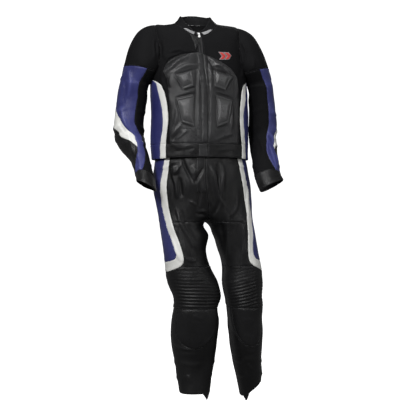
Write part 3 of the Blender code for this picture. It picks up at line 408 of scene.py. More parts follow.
# Creases. Each line is a fold seen from one side: how wide and how high it is in
# millimetres, below zero for a trough, and the points it runs through, as (across, height) in metres.
# Across is x at the front and back, and y at the two sides.
creases = {
    "front": [
        # right chest: the long folds that run from the zip to the armhole
        (9, 4.0, [(-0.066, -0.140), (-0.104, -0.158), (-0.136, -0.188), (-0.168, -0.212)]),
        (7, -4.5, [(-0.048, -0.120), (-0.100, -0.139), (-0.130, -0.154), (-0.156, -0.180)]),
        (8, 3.5, [(-0.145, -0.126), (-0.112, -0.118), (-0.080, -0.116)]),
        (16, 3.5, [(-0.155, -0.150), (-0.135, -0.140), (-0.115, -0.136)]),
        (8, 3.5, [(-0.158, -0.190), (-0.164, -0.230), (-0.150, -0.276)]),
        (7, -3.0, [(-0.146, -0.215), (-0.148, -0.245), (-0.138, -0.268)]),
        (9, 3.0, [(-0.107, -0.335), (-0.112, -0.380), (-0.124, -0.418), (-0.142, -0.440)]),
        (7, 2.6, [(-0.130, -0.452), (-0.108, -0.425), (-0.092, -0.408)]),
        (6, 2.4, [(-0.116, -0.466), (-0.094, -0.448), (-0.070, -0.430)]),
        (8, -2.6, [(-0.128, -0.470), (-0.106, -0.450), (-0.088, -0.438)]),
        (12, -3.0, [(-0.136, -0.330), (-0.142, -0.370), (-0.138, -0.410)]),
        # left chest: soft folds off the zip and below the yoke seam
        (9, 3.5, [(0.024, -0.145), (0.052, -0.172), (0.086, -0.196), (0.112, -0.232)]),
        (7, -3.0, [(0.014, -0.150), (0.030, -0.180), (0.044, -0.200)]),
        (6, 3.2, [(0.012, -0.182), (0.022, -0.205), (0.026, -0.235)]),
        (6, 3.0, [(0.012, -0.248), (0.024, -0.275), (0.030, -0.300)]),
        (8, 3.0, [(0.124, -0.205), (0.132, -0.250), (0.130, -0.302)]),
        (8, -2.6, [(0.114, -0.300), (0.122, -0.350), (0.118, -0.396)]),
        (8, 2.4, [(0.100, -0.345), (0.108, -0.390), (0.096, -0.436)]),
        (9, 2.6, [(0.040, -0.470), (0.074, -0.452), (0.112, -0.440)]),
        # either side of the zip flap, and the deep line where it lies over the zip
        (3.4, -3.2, [(0.0120, -0.122), (0.0125, -0.200), (0.0130, -0.300), (0.0130, -0.474)]),
        (5, 2.4, [(0.0230, -0.170), (0.0240, -0.290), (0.0240, -0.460)]),
        (3.6, 1.5, [(-0.0060, -0.190), (-0.0070, -0.300), (-0.0060, -0.470)]),
        (5, 2.0, [(-0.026, -0.190), (-0.027, -0.300), (-0.026, -0.470)]),
        (5, -1.8, [(-0.036, -0.195), (-0.037, -0.300), (-0.035, -0.450)]),
        # jacket hem
        (5, 2.0, [(-0.092, -0.500), (-0.064, -0.492), (-0.034, -0.496)]),
        (5, 1.8, [(-0.060, -0.520), (-0.044, -0.506), (-0.034, -0.490)]),
        (6, -1.6, [(-0.120, -0.512), (-0.086, -0.508)]),
        (6, 1.6, [(0.050, -0.512), (0.090, -0.500), (0.120, -0.502)]),
        # shoulder joints, right then left
        (5, 3.4, [(-0.190, -0.070), (-0.196, -0.105), (-0.192, -0.132), (-0.202, -0.156)]),
        (5, 3.0, [(-0.177, -0.078), (-0.180, -0.105), (-0.178, -0.134)]),
        (4, -3.4, [(-0.186, -0.074), (-0.187, -0.105), (-0.184, -0.140)]),
        (6, -3.6, [(-0.168, -0.080), (-0.166, -0.110), (-0.168, -0.150)]),
        (7, 3.2, [(0.140, -0.078), (0.154, -0.112), (0.160, -0.150), (0.150, -0.172)]),
        (5, 3.0, [(0.158, -0.072), (0.168, -0.100), (0.172, -0.128)]),
        (5, -3.4, [(0.150, -0.076), (0.162, -0.110), (0.168, -0.150), (0.160, -0.176)]),
        (6, 3.0, [(0.152, -0.178), (0.158, -0.198), (0.154, -0.214)]),
        (7, 3.0, [(0.196, -0.136), (0.200, -0.160), (0.196, -0.184)]),
        # sleeves, front
        (8, 3.0, [(-0.300, -0.180), (-0.286, -0.235), (-0.292, -0.300)]),
        (7, -2.6, [(-0.318, -0.210), (-0.306, -0.260), (-0.312, -0.320)]),
        (9, 3.4, [(-0.322, -0.330), (-0.310, -0.380), (-0.290, -0.425)]),
        (7, -3.0, [(-0.330, -0.372), (-0.316, -0.410), (-0.292, -0.446)]),
        (7, 3.0, [(-0.300, -0.430), (-0.282, -0.470), (-0.278, -0.520)]),
        (6, -2.6, [(-0.288, -0.450), (-0.270, -0.490), (-0.266, -0.540)]),
        (6, 2.4, [(-0.262, -0.520), (-0.252, -0.560), (-0.256, -0.600)]),
        (7, 2.6, [(0.244, -0.220), (0.252, -0.280), (0.262, -0.340)]),
        (8, 3.0, [(0.262, -0.420), (0.286, -0.450), (0.300, -0.500)]),
        (6, -2.8, [(0.270, -0.440), (0.290, -0.475), (0.298, -0.525)]),
        (6, 2.8, [(0.286, -0.470), (0.296, -0.520), (0.300, -0.572)]),
        (6, 2.4, [(0.274, -0.480), (0.284, -0.530), (0.290, -0.580)]),
        (7, 2.6, [(0.226, -0.440), (0.240, -0.480), (0.244, -0.540)]),
        # trousers' right front
        (7, -5.0, [(-0.088, -0.540), (-0.074, -0.580), (-0.056, -0.616), (-0.050, -0.632)]),
        (7, -4.6, [(-0.010, -0.575), (-0.026, -0.606), (-0.044, -0.636)]),
        (18, 5.0, [(-0.116, -0.556), (-0.118, -0.580), (-0.112, -0.600)]),
        (8, 3.6, [(-0.124, -0.560), (-0.126, -0.600), (-0.114, -0.640), (-0.110, -0.696)]),
        (8, -4.0, [(-0.100, -0.612), (-0.096, -0.650), (-0.092, -0.690)]),
        (6, 2.6, [(-0.094, -0.560), (-0.106, -0.582), (-0.120, -0.600)]),
        (12, 3.4, [(-0.044, -0.566), (-0.040, -0.586), (-0.044, -0.604)]),
        (5, 3.0, [(-0.012, -0.625), (-0.010, -0.680), (-0.018, -0.736)]),
        (5, -2.6, [(-0.024, -0.640), (-0.024, -0.690), (-0.032, -0.730)]),
        (5, 2.6, [(-0.062, -0.706), (-0.046, -0.712), (-0.034, -0.724)]),
        (7, 3.6, [(-0.112, -0.730), (-0.092, -0.794), (-0.066, -0.844), (-0.038, -0.892)]),
        (8, -3.0, [(-0.092, -0.740), (-0.074, -0.800), (-0.048, -0.850)]),
        (9, 2.6, [(-0.124, -0.850), (-0.112, -0.900), (-0.090, -0.940)]),
        (7, 2.4, [(-0.080, -0.926), (-0.056, -0.936), (-0.030, -0.934)]),
        # trousers' left front
        (10, 5.4, [(0.022, -0.560), (0.036, -0.606), (0.048, -0.652), (0.058, -0.686), (0.068, -0.724)]),
        (10, 4.6, [(0.062, -0.548), (0.073, -0.592), (0.067, -0.645), (0.074, -0.700)]),
        (8, -4.6, [(0.044, -0.560), (0.054, -0.606), (0.056, -0.650), (0.066, -0.700)]),
        (9, -3.6, [(0.010, -0.600), (0.020, -0.660), (0.032, -0.720)]),
        (9, 3.0, [(0.132, -0.680), (0.126, -0.730), (0.104, -0.764)]),
        (7, 3.4, [(0.078, -0.742), (0.094, -0.786), (0.098, -0.850), (0.104, -0.930)]),
        (9, -3.0, [(0.066, -0.780), (0.080, -0.840), (0.088, -0.900)]),
        (9, 2.6, [(0.150, -0.790), (0.158, -0.850), (0.162, -0.920)]),
        (8, 2.6, [(0.186, -0.640), (0.180, -0.700), (0.184, -0.770)]),
        # crotch
        (7, -3.6, [(0.018, -0.770), (-0.004, -0.756), (-0.036, -0.752)]),
        (6, 2.8, [(0.010, -0.745), (-0.012, -0.742), (-0.030, -0.750)]),
        (7, -3.4, [(0.026, -0.770), (0.046, -0.742), (0.060, -0.700)]),
        # knees and shins
        (7, 2.6, [(-0.110, -1.262), (-0.082, -1.282), (-0.046, -1.286)]),
        (6, 3.0, [(-0.036, -1.282), (0.004, -1.266), (0.034, -1.232), (0.050, -1.200)]),
        (6, 2.4, [(-0.004, -1.262), (0.020, -1.244)]),
        (6, 2.8, [(0.206, -1.190), (0.204, -1.226), (0.196, -1.254)]),
        (7, 3.0, [(-0.050, -1.012), (-0.022, -1.010), (0.000, -1.012)]),
        (7, 2.6, [(0.086, -1.040), (0.112, -1.030), (0.140, -1.022)]),
        (6, 2.6, [(-0.044, -1.148), (-0.024, -1.160), (-0.006, -1.164)]),
        (5, -2.4, [(-0.040, -1.158), (-0.020, -1.172), (-0.008, -1.178)]),
        (9, 2.0, [(-0.098, -1.300), (-0.056, -1.306), (-0.012, -1.302)]),
        (9, 2.2, [(-0.086, -1.340), (-0.044, -1.348), (0.004, -1.344)]),
        (8, 2.0, [(-0.072, -1.388), (-0.056, -1.400), (-0.050, -1.418)]),
        (7, 1.8, [(-0.046, -1.384), (-0.056, -1.400), (-0.052, -1.420)]),
        (8, 2.4, [(0.160, -1.020), (0.176, -1.012), (0.186, -1.004)]),
        (8, 2.2, [(0.156, -1.175), (0.178, -1.172), (0.204, -1.176)]),
        (8, 2.0, [(0.166, -1.238), (0.180, -1.236), (0.192, -1.240)]),
        (8, 2.0, [(0.176, -1.300), (0.196, -1.304), (0.214, -1.298)]),
        (8, 2.2, [(0.186, -1.352), (0.200, -1.372), (0.214, -1.380)]),
        (10, 2.2, [(0.170, -1.330), (0.190, -1.336), (0.220, -1.328)]),
    ],
    "back": [
        (12, 4.0, [(-0.150, -0.150), (-0.110, -0.190), (-0.060, -0.210)]),
        (12, 4.0, [(0.150, -0.155), (0.104, -0.196), (0.056, -0.206)]),
        (10, -3.6, [(-0.140, -0.185), (-0.100, -0.220), (-0.050, -0.238)]),
        (10, -3.6, [(0.138, -0.190), (0.098, -0.226), (0.048, -0.240)]),
        (14, 4.4, [(-0.120, -0.330), (-0.040, -0.350), (0.050, -0.344), (0.126, -0.322)]),
        (11, -4.0, [(-0.126, -0.360), (-0.040, -0.380), (0.040, -0.376), (0.118, -0.356)]),
        (12, 4.0, [(-0.110, -0.404), (-0.030, -0.414), (0.070, -0.404), (0.130, -0.392)]),
        (10, -3.0, [(-0.070, -0.440), (0.010, -0.446), (0.090, -0.436)]),
        (10, 3.0, [(-0.130, -0.280), (-0.080, -0.300), (-0.020, -0.296)]),
        (7, 2.0, [(-0.100, -0.512), (-0.030, -0.506), (0.040, -0.514)]),
        (9, 3.6, [(-0.300, -0.220), (-0.260, -0.250), (-0.226, -0.256)]),
        (9, 3.4, [(0.290, -0.226), (0.256, -0.252), (0.220, -0.260)]),
        (12, 4.0, [(-0.120, -0.640), (-0.080, -0.690), (-0.020, -0.720)]),
        (12, 4.0, [(0.140, -0.640), (0.096, -0.690), (0.040, -0.724)]),
        (10, -4.0, [(-0.130, -0.680), (-0.090, -0.722), (-0.030, -0.748)]),
        (10, -4.0, [(0.150, -0.676), (0.108, -0.720), (0.050, -0.750)]),
        (12, 3.6, [(-0.090, -0.570), (-0.070, -0.620), (-0.060, -0.670)]),
        (12, 3.6, [(0.070, -0.566), (0.086, -0.616), (0.080, -0.670)]),
        (11, 4.0, [(-0.130, -0.800), (-0.096, -0.816), (-0.050, -0.810)]),
        (11, 4.0, [(0.090, -0.806), (0.140, -0.820), (0.190, -0.808)]),
        (10, 4.4, [(-0.120, -0.975), (-0.080, -0.990), (-0.020, -0.984)]),
        (10, 4.4, [(0.120, -0.980), (0.176, -0.992), (0.226, -0.982)]),
        (8, -4.2, [(-0.114, -0.998), (-0.070, -1.010), (-0.010, -1.004)]),
        (8, -4.2, [(0.124, -1.000), (0.180, -1.012), (0.230, -1.002)]),
        (9, 4.0, [(-0.106, -1.048), (-0.060, -1.036), (0.010, -1.044)]),
        (9, 4.0, [(0.130, -1.042), (0.180, -1.034), (0.226, -1.046)]),
        (9, -3.2, [(-0.100, -1.066), (-0.050, -1.058), (0.020, -1.066)]),
        (9, -3.2, [(0.134, -1.062), (0.180, -1.056), (0.230, -1.066)]),
        (12, 3.4, [(-0.090, -1.180), (-0.060, -1.240), (-0.050, -1.310)]),
        (12, 3.4, [(0.220, -1.180), (0.204, -1.240), (0.210, -1.310)]),
        (9, 3.0, [(-0.090, -1.360), (-0.050, -1.372), (0.000, -1.362)]),
        (9, 3.0, [(0.160, -1.366), (0.206, -1.378), (0.244, -1.366)]),
    ],
    "left": [
        (9, 3.6, [(-0.040, -0.190), (0.000, -0.214), (0.050, -0.210)]),
        (9, 3.6, [(-0.040, -0.404), (0.010, -0.424), (0.070, -0.412)]),
        (8, -3.6, [(-0.046, -0.430), (0.010, -0.448), (0.074, -0.430)]),
        (9, 3.4, [(-0.060, -0.476), (-0.010, -0.482), (0.050, -0.462)]),
        (8, 3.0, [(-0.110, -0.560), (-0.060, -0.566), (-0.020, -0.552)]),
        (10, 3.4, [(-0.060, -0.340), (-0.010, -0.356), (0.040, -0.350)]),
        (12, 3.6, [(-0.040, -0.600), (-0.010, -0.680), (0.000, -0.760)]),
        (12, 3.4, [(0.040, -0.660), (0.060, -0.740), (0.050, -0.820)]),
        (10, 3.0, [(-0.060, -1.100), (0.000, -1.112), (0.060, -1.100)]),
        (9, 3.0, [(-0.040, -1.340), (0.020, -1.352), (0.080, -1.340)]),
        (9, 2.8, [(-0.020, -1.396), (0.036, -1.408), (0.084, -1.398)]),
    ],
    "right": [
        (9, 3.6, [(-0.036, -0.196), (0.006, -0.220), (0.054, -0.214)]),
        (9, 3.8, [(-0.036, -0.396), (0.014, -0.420), (0.072, -0.408)]),
        (8, -3.6, [(-0.042, -0.424), (0.012, -0.444), (0.072, -0.428)]),
        (9, 3.6, [(-0.060, -0.470), (-0.010, -0.478), (0.050, -0.460)]),
        (8, 3.0, [(-0.104, -0.566), (-0.056, -0.572), (-0.016, -0.556)]),
        (10, 3.2, [(-0.056, -0.330), (-0.006, -0.350), (0.044, -0.344)]),
        (12, 3.6, [(-0.046, -0.606), (-0.020, -0.690), (-0.014, -0.770)]),
        (12, 3.2, [(0.036, -0.650), (0.050, -0.730), (0.040, -0.810)]),
        (10, 3.0, [(-0.080, -1.106), (-0.030, -1.118), (0.030, -1.108)]),
        (9, 3.0, [(-0.070, -1.336), (-0.010, -1.348), (0.040, -1.338)]),
        (9, 2.8, [(-0.056, -1.400), (-0.010, -1.410), (0.036, -1.400)]),
    ],
}
# the chest pads' corners as (row, distance from the middle): inner top, outer top, outer bottom, inner bottom
padCorners = {
    "chestPadUpper": ("chest_pad_upper", [(5.2, 0.044), (6.6, 0.119), (7.6, 0.083), (7.42, 0.044)]),
    "chestPadLower": ("chest_pad_lower", [(7.9, 0.045), (8.12, 0.111), (9.08, 0.091), (9.28, 0.045)]),
}
# a sunk line runs round each pad, and a ridge arches over the upper ones; widths and heights in millimetres
padBorder = {"outside": 0.0070, "troughWidth": 4.2, "trough": -3.4}
padArch = {"outside": 0.0266, "bow": 0.012, "width": 7, "height": 2.4}
for mirror in (1, -1):
    for name, (node, corners) in padCorners.items():
        rows, across = np.array(corners).T
        spots = torso(rows, turnAt(rows, across))[:, [0, 2]] * (mirror, 1)
        outward = spots - spots.mean(axis=0)
        outward /= np.linalg.norm(outward, axis=1, keepdims=True)
        ring = spots + padBorder["outside"] * outward
        for first, last in zip(ring, np.roll(ring, -1, axis=0)):
            line = [first, (first + last) / 2, last]
            creases["front"].append((padBorder["troughWidth"], padBorder["trough"], line))
        if name == "chestPadUpper":
            high = spots + padArch["outside"] * outward
            bow = (high[0] + high[1]) / 2 + (0, padArch["bow"])
            creases["front"].append((padArch["width"], padArch["height"], [high[0], bow, high[1]]))
# the axis that runs across each side's picture, and the direction that side faces
facings = {
    "front": (0, (0, -1, 0)),
    "back": (0, (0, 1, 0)),
    "left": (1, (1, 0, 0)),
    "right": (1, (-1, 0, 0)),
}
unevenness = {
    "foldHeight": 1.5,  # a factor on the height of every fold above
    "foldWidth": 0.85,  # and on its width
    "sideFolds": 0.55,  # a factor on the folds drawn from the sides,
    "armsBeyond": 0.21,  # which lie on the arms, past this distance from the middle,
    "legsBelow": -0.56,  # and on the legs
    "broad": 0.0022,
    "broadScale": 30.0,
    "fine": 0.0005,
    "fineScale": 95.0,
    "pucker": 0.0005,  # beside the seams
    "puckerScale": 330.0,
    "puckerReach": 0.010,
}


def polyline(points, count=14):
    # a smooth line through a few points
    points = np.array(points)
    knots = np.arange(len(points), dtype=float)
    at = np.linspace(0, len(points) - 1, count)
    return np.stack([smooth(at, knots, points[:, i]) for i in range(points.shape[1])], axis=-1)


def nearestOnLine(points, line):
    # distance to a line of segments, signed by side, and how far along it the nearest point is, from 0 to 1
    starts, runs = line[:-1], np.diff(line, axis=0)
    lengths = np.linalg.norm(runs, axis=1)
    offset = points[:, None] - starts
    share = np.clip((offset * runs).sum(-1) / lengths**2, 0, 1)
    gap = offset - share[..., None] * runs
    away = np.linalg.norm(gap, axis=-1)
    best = away.argmin(axis=1)
    rows = np.arange(len(points))
    sign = np.sign(runs[best, 0] * gap[rows, best, 1] - runs[best, 1] * gap[rows, best, 0])
    reached = np.concatenate([[0], np.cumsum(lengths)])
    along = (reached[best] + share[rows, best] * lengths[best]) / reached[-1]
    return away[rows, best] * sign, along


def creaseHeight(points, norms):
    # each fold is a bell across its line with a shallow dip beside it; it fades towards its ends
    total = np.zeros(len(points))
    for facing, lines in creases.items():
        axis, direction = facings[facing]
        turned = np.clip((norms @ np.array(direction, float) - 0.15) / 0.45, 0, 1)
        if axis == 1:
            # folds drawn on the sleeves don't cross to the jacket's own sides
            onArms = np.abs(points[:, 0]) > unevenness["armsBeyond"]
            turned *= unevenness["sideFolds"] * (onArms | (points[:, 2] < unevenness["legsBelow"]))
        flat = points[:, [axis, 2]]
        for width, height, through in lines:
            line = polyline(through)
            reach = 0.0045 * width
            inside = (flat > line.min(axis=0) - reach) & (flat < line.max(axis=0) + reach)
            near = inside.all(axis=1) & (turned > 0)
            if near.any():
                away, along = nearestOnLine(flat[near], line)
                steepness = np.where(away > 0, 1.25, 0.8)
                scaled = away / (0.001 * unevenness["foldWidth"] * width * steepness)
                bell = (1 - 0.45 * scaled**2) * np.exp(-0.7 * scaled**2)
                ends = (4 * along * (1 - along)) ** 0.6
                total[near] += 0.001 * unevenness["foldHeight"] * height * bell * turned[near] * ends
    return total


def waves(points, scale, seed, count=9):
    # a smooth noise: plane sine waves in random directions and of nearly equal length
    random = np.random.default_rng(seed)
    directions = random.normal(size=(count, 3))
    lengths = np.linalg.norm(directions, axis=1, keepdims=True)
    directions *= scale * random.uniform(0.6, 1.4, (count, 1)) / lengths
    phases = random.uniform(0, 2 * np.pi, count)
    return np.sin(points @ directions.T + phases).sum(axis=1) / math.sqrt(count / 2)


# how finely a panel is divided, and its closer lines near each edge; stitches run on one of those
grid = {
    "step": 0.0053,
    "fineStep": 0.0041,  # for the chest, whose folds are narrow
    "trimStep": 0.003,  # for small and narrow pieces
    "rims": (0.0, 0.0009, 0.0019, 0.0032, 0.0052),
    "stitchLine": 3,
}


def spaced(length, step):
    # shares from 0 to 1 that lie at the rim distances from both ends and evenly between
    edge = [d for d in grid["rims"] if d < length * 0.42] or [0.0]
    count = max(2, round((length - 2 * edge[-1]) / step))
    inside = np.linspace(edge[-1], length - edge[-1], count + 1)[1:-1]
    return np.concatenate([edge, inside, length - np.array(edge[::-1])]) / length


def runLengths(points):
    # the length of each step along the last line of points
    return np.linalg.norm(np.diff(points, axis=-2), axis=-1)


def patch(surface, start, end, left, right, step=None, acrossStep=None, columns=None):
    # rows run from start to end and columns from seam to seam: evenly spaced, and closer at the edges
    step = step or grid["step"]
    fineRows = np.linspace(start, end, 160)
    edges = np.stack([left(fineRows), right(fineRows)], axis=1)
    middle = surface(fineRows, edges.mean(axis=1))
    reached = np.concatenate([[0], np.cumsum(runLengths(middle))])
    rows = np.interp(spaced(reached[-1], step) * reached[-1], reached, fineRows)
    shares = columns
    if columns is None:
        across = edges[:, :1] + np.linspace(0, 1, 24) * (edges[:, 1:] - edges[:, :1])
        width = runLengths(surface(fineRows[:, None], across)).sum(axis=1).max()
        shares = spaced(width, acrossStep or step)
    turns = left(rows)[:, None] * (1 - shares) + right(rows)[:, None] * shares
    return surface, np.broadcast_to(rows[:, None], turns.shape), turns


def surfaceNormals(surface, rows, turns, first=1e-4, second=0.05):
    # the cross product of the slopes along both parameters
    down = surface(rows + first, turns) - surface(rows - first, turns)
    across = surface(rows, turns + second) - surface(rows, turns - second)
    cross = np.cross(down, across)
    return cross / np.maximum(np.linalg.norm(cross, axis=-1, keepdims=True), 1e-15)


def gridCells(count, size):
    # the corners of each cell of a grid of count rows and size columns
    index = np.arange(count * size).reshape(count, size)
    return np.stack([index[:-1, :-1], index[1:, :-1], index[1:, 1:], index[:-1, 1:]], axis=-1).reshape(-1, 4)


def weld(points, cells):
    # points that lie together are made one, in two passes half a step apart, so that none straddles a step;
    # returns the first of each, which of those each point became, and the cells that keep three corners
    first, index = np.arange(len(points)), np.arange(len(points))
    for offset in (0.137, 0.637):
        steps = np.round(points[first] * 2e4 + offset).astype(np.int64)
        _, found, inverse = np.unique(steps, axis=0, return_index=True, return_inverse=True)
        first, index = first[found], inverse.reshape(-1)[index]
    cells = index[cells]
    same = cells == np.roll(cells, 1, axis=1)
    return first, index, cells, same.sum(axis=1)


def faceLists(cells, repeats):
    # whole cells stay four-sided, and a cell with one repeated corner becomes a triangle
    quads = cells[repeats == 0]
    triangles = [[c for k, c in enumerate(cell) if c != cell[k - 1]] for cell in cells[repeats == 1].tolist()]
    return quads, np.array(triangles, dtype=np.int64).reshape(-1, 3)


def borderEdges(quads, triangles):
    # directed edges that no other face runs back along
    filled = [faces for faces in (quads, triangles) if len(faces)]
    loops = [np.stack([faces, np.roll(faces, -1, axis=1)], axis=-1).swapaxes(0, 1) for faces in filled]
    edges = np.concatenate([loop.reshape(-1, 2) for loop in loops])
    size = edges.max() + 1
    return edges[~np.isin(edges[:, 0] * size + edges[:, 1], edges[:, 1] * size + edges[:, 0])]


def borderDistance(points, starts, ends):
    # distance to the nearest border segment, a few hundred points at a time
    runs = ends - starts
    squared = np.maximum((runs**2).sum(axis=1), 1e-12)
    found = np.empty(len(points))
    for at in range(0, len(points), 400):
        offset = points[at:at + 400, None] - starts
        share = np.clip((offset * runs).sum(-1) / squared, 0, 1)[..., None]
        found[at:at + 400] = np.sqrt(((offset - share * runs) ** 2).sum(-1).min(axis=1))
    return found


def seamProfile(distance):
    # the edge turns down into the seam, with a shallow ridge over the allowance and a groove at the stitching
    turnDown = -0.0012 * np.exp(-((distance / 0.0013) ** 2))
    ridge = 0.0005 * np.exp(-(((distance - 0.0060) / 0.0030) ** 2))
    groove = -0.0003 * np.exp(-(((distance - 0.0032) / 0.0010) ** 2))
    return turnDown + ridge + groove


def makeMesh(name, points, faces, materials, faceMaterial=None, attributes=None, uv=None, sharp=None):
    # an object at the origin; attributes hold one number a point, and uv one place a point
    mesh = bpy.data.meshes.new(name)
    mesh.from_pydata(points.tolist(), [], faces)
    mesh.update()
    for material in materials:
        mesh.materials.append(material)
    if faceMaterial is not None:
        mesh.polygons.foreach_set("material_index", np.asarray(faceMaterial, np.int32))
    for key, values in (attributes or {}).items():
        mesh.attributes.new(key, "FLOAT", "POINT").data.foreach_set("value", np.asarray(values, np.float32))
    if uv is not None:
        corners = np.empty(len(mesh.loops), np.int32)
        mesh.loops.foreach_get("vertex_index", corners)
        mesh.uv_layers.new(name="UVMap").data.foreach_set("uv", uv[corners].astype(np.float32).ravel())
    mesh.shade_smooth()
    if sharp:
        mesh.set_sharp_from_angle(angle=math.radians(sharp))
    obj = bpy.data.objects.new(name, mesh)
    bpy.context.scene.collection.objects.link(obj)
    return obj


stitchPaths = {}  # for each thread's colour, the lines it runs along
cuts = []  # for each panel, the size it is cut to
panelCount = {"faces": 0}


def panel(name, node, patches, look, wall=form["wall"], lift=0.0, relief=None, seams=True, flatCreases=1.0):
    # a cut piece: welded grids pushed along their normals by creases and seams, then given a wall inwards
    allPoints, allNormals, allCells, allUv, grids = [], [], [], [], []
    count = 0
    for surface, rows, turns in patches:
        points = surface(rows, turns)
        norms = surfaceNormals(surface, rows, turns)
        cells = gridCells(*rows.shape)
        centre = sectionCentre(surface, rows)
        if ((points - centre) * norms).sum() < 0:
            norms = -norms
        corner = points.reshape(-1, 3)[cells]
        facing = np.cross(corner[:, 2] - corner[:, 0], corner[:, 3] - corner[:, 1])
        if (facing * norms.reshape(-1, 3)[cells[:, 0]]).sum() < 0:
            cells = cells[:, ::-1]
        acrossLength = np.cumsum(runLengths(points), axis=1)
        acrossLength = np.concatenate([np.zeros((len(points), 1)), acrossLength], axis=1)
        alongLength = np.concatenate([[0], np.cumsum(runLengths(points.mean(axis=1)))])
        u = acrossLength - acrossLength[:, -1:] / 2
        v = np.broadcast_to(alongLength[:, None], u.shape)
        allUv.append(np.stack([u, v], axis=-1).reshape(-1, 2))
        allPoints.append(points.reshape(-1, 3))
        allNormals.append(norms.reshape(-1, 3))
        allCells.append(cells + count)
        grids.append((count, rows.shape))
        count += rows.size
    points, norms, uv = np.concatenate(allPoints), np.concatenate(allNormals), np.concatenate(allUv)
    first, index, cells, repeats = weld(points, np.concatenate(allCells))
    points, norms, uv = points[first], norms[first], uv[first]
    quads, triangles = faceLists(cells, repeats)
    border = borderEdges(quads, triangles)
    distance = borderDistance(points, points[border[:, 0]], points[border[:, 1]])
    fold = creaseHeight(points, norms) * flatCreases
    fold += unevenness["broad"] * waves(points, unevenness["broadScale"], 3) * flatCreases
    fold += unevenness["fine"] * waves(points, unevenness["fineScale"], 5)
    nearSeam = np.exp(-distance / unevenness["puckerReach"])
    fold += unevenness["pucker"] * waves(points, unevenness["puckerScale"], 7) * nearSeam
    if relief is not None:
        fold += relief(points, norms, distance)
    height = fold + (seamProfile(distance) if seams else 0)
    outer = points + norms * (height + (lift + wall if lift > 0 else lift))[:, None]
    inner = outer - norms * wall
    size = len(points)
    rim = np.stack([border[:, 1], border[:, 0], border[:, 0] + size, border[:, 1] + size], axis=1)
    faces = quads.tolist() + triangles.tolist()
    wallFaces = (quads[:, ::-1] + size).tolist() + (triangles[:, ::-1] + size).tolist()
    # the cut edge of a piece laid on top shows its own leather, and one turned into a seam shows the lining
    faceMaterial = [0] * len(faces) + [1] * len(wallFaces) + [0 if lift > 0 else 1] * len(rim)
    both = np.concatenate
    obj = makeMesh(
        name,
        both([outer, inner]),
        faces + wallFaces + rim.tolist(),
        [looks[look], looks["lining"]],
        faceMaterial,
        {"fold": both([fold, fold]) * 1000, "rim": both([distance, distance]) * 1000},
        both([uv, uv]),
    )
    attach(obj, "suit")
    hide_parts(node)
    panelCount["faces"] += 2 * (len(faces) + len(wallFaces))
    if seams:
        gather = stitchPaths.setdefault(look if look in ("white", "blue") else "black", [])
        k = grid["stitchLine"]
        outerAll, normAll = outer[index], norms[index]
        for start, shape in grids:
            where = np.arange(start, start + shape[0] * shape[1]).reshape(shape)
            if min(shape) > 2 * k + 2:
                for line in (where[k:-k, k], where[k:-k, -1 - k], where[k, k:-k], where[-1 - k, k:-k]):
                    # where two grids of one panel meet there is no seam, and so no stitching
                    if np.median(distance[index[line]]) < 0.008:
                        gather.append((outerAll[line], normAll[line]))
    declareSheet(obj, points, quads, triangles, patches)
    return obj


def sectionCentre(surface, rows):
    # a point inside the section that a panel goes round, so that its normals can be told to face out
    whole = np.linspace(0, 360, 24, endpoint=False)
    return surface(rows[:, :1], whole[None, :] + 0 * rows[:, :1]).mean(axis=1, keepdims=True)


def declareSheet(obj, points, quads, triangles, patches):
    # the piece as cut: its greatest width and length, and the area it has before it creases
    def areaOf(faces):
        if not len(faces):
            return 0.0
        corner = points[faces]
        across = np.cross(corner[:, 1] - corner[:, 0], corner[:, 2] - corner[:, 0])
        total = np.linalg.norm(across, axis=1).sum() / 2
        if faces.shape[1] == 4:
            across = np.cross(corner[:, 2] - corner[:, 0], corner[:, 3] - corner[:, 0])
            total += np.linalg.norm(across, axis=1).sum() / 2
        return total

    area = areaOf(quads) + areaOf(triangles)
    # patches that start at one row lie side by side, and the others follow below them
    groups = {}
    for surface, rows, turns in patches:
        span = surface(rows, turns)
        long = runLengths(span.mean(axis=1)).sum()
        wide = runLengths(span).sum(axis=1).max()
        beside, along = groups.get(round(float(rows[0, 0]), 4), (0.0, 0.0))
        groups[round(float(rows[0, 0]), 4)] = beside + wide, max(along, long)
    length = sum(long for wide, long in groups.values())
    width = max(max(wide for wide, long in groups.values()), area / length)
    # the frame takes no piece that fills under 0.3 of its rectangle: a long hooked one is given narrower
    told = min(width, area / (0.305 * length))
    flat = (math.ceil(told * 10000) / 10000, math.ceil(length * 10000) / 10000)
    if told < width:
        print("narrowed", obj.name, round(width, 3), "to", flat[0])
    cuts.append((obj.name, float(width), float(length), float(area)))


class wire:
    # a socket with arithmetic: each operation adds its Math node

    def __init__(self, tree, socket):
        self.tree, self.socket = tree, socket

    def join(self, operation, *values, clamp=False):
        # one Math node on the values, each a number or another wire
        node = self.tree.nodes.new("ShaderNodeMath")
        node.operation = operation
        node.use_clamp = clamp
        for i, value in enumerate(values):
            if isinstance(value, wire):
                self.tree.links.new(value.socket, node.inputs[i])
            else:
                node.inputs[i].default_value = value
        return wire(self.tree, node.outputs[0])

    def __add__(self, other):
        return self.join("ADD", self, other)

    def __sub__(self, other):
        return self.join("SUBTRACT", self, other)

    def __rsub__(self, other):
        return self.join("SUBTRACT", other, self)

    def __mul__(self, other):
        return self.join("MULTIPLY", self, other)

    __radd__, __rmul__ = __add__, __mul__

    def clamped(self):
        return self.join("ADD", self, 0.0, clamp=True)

    def sine(self):
        return self.join("SINE", self)


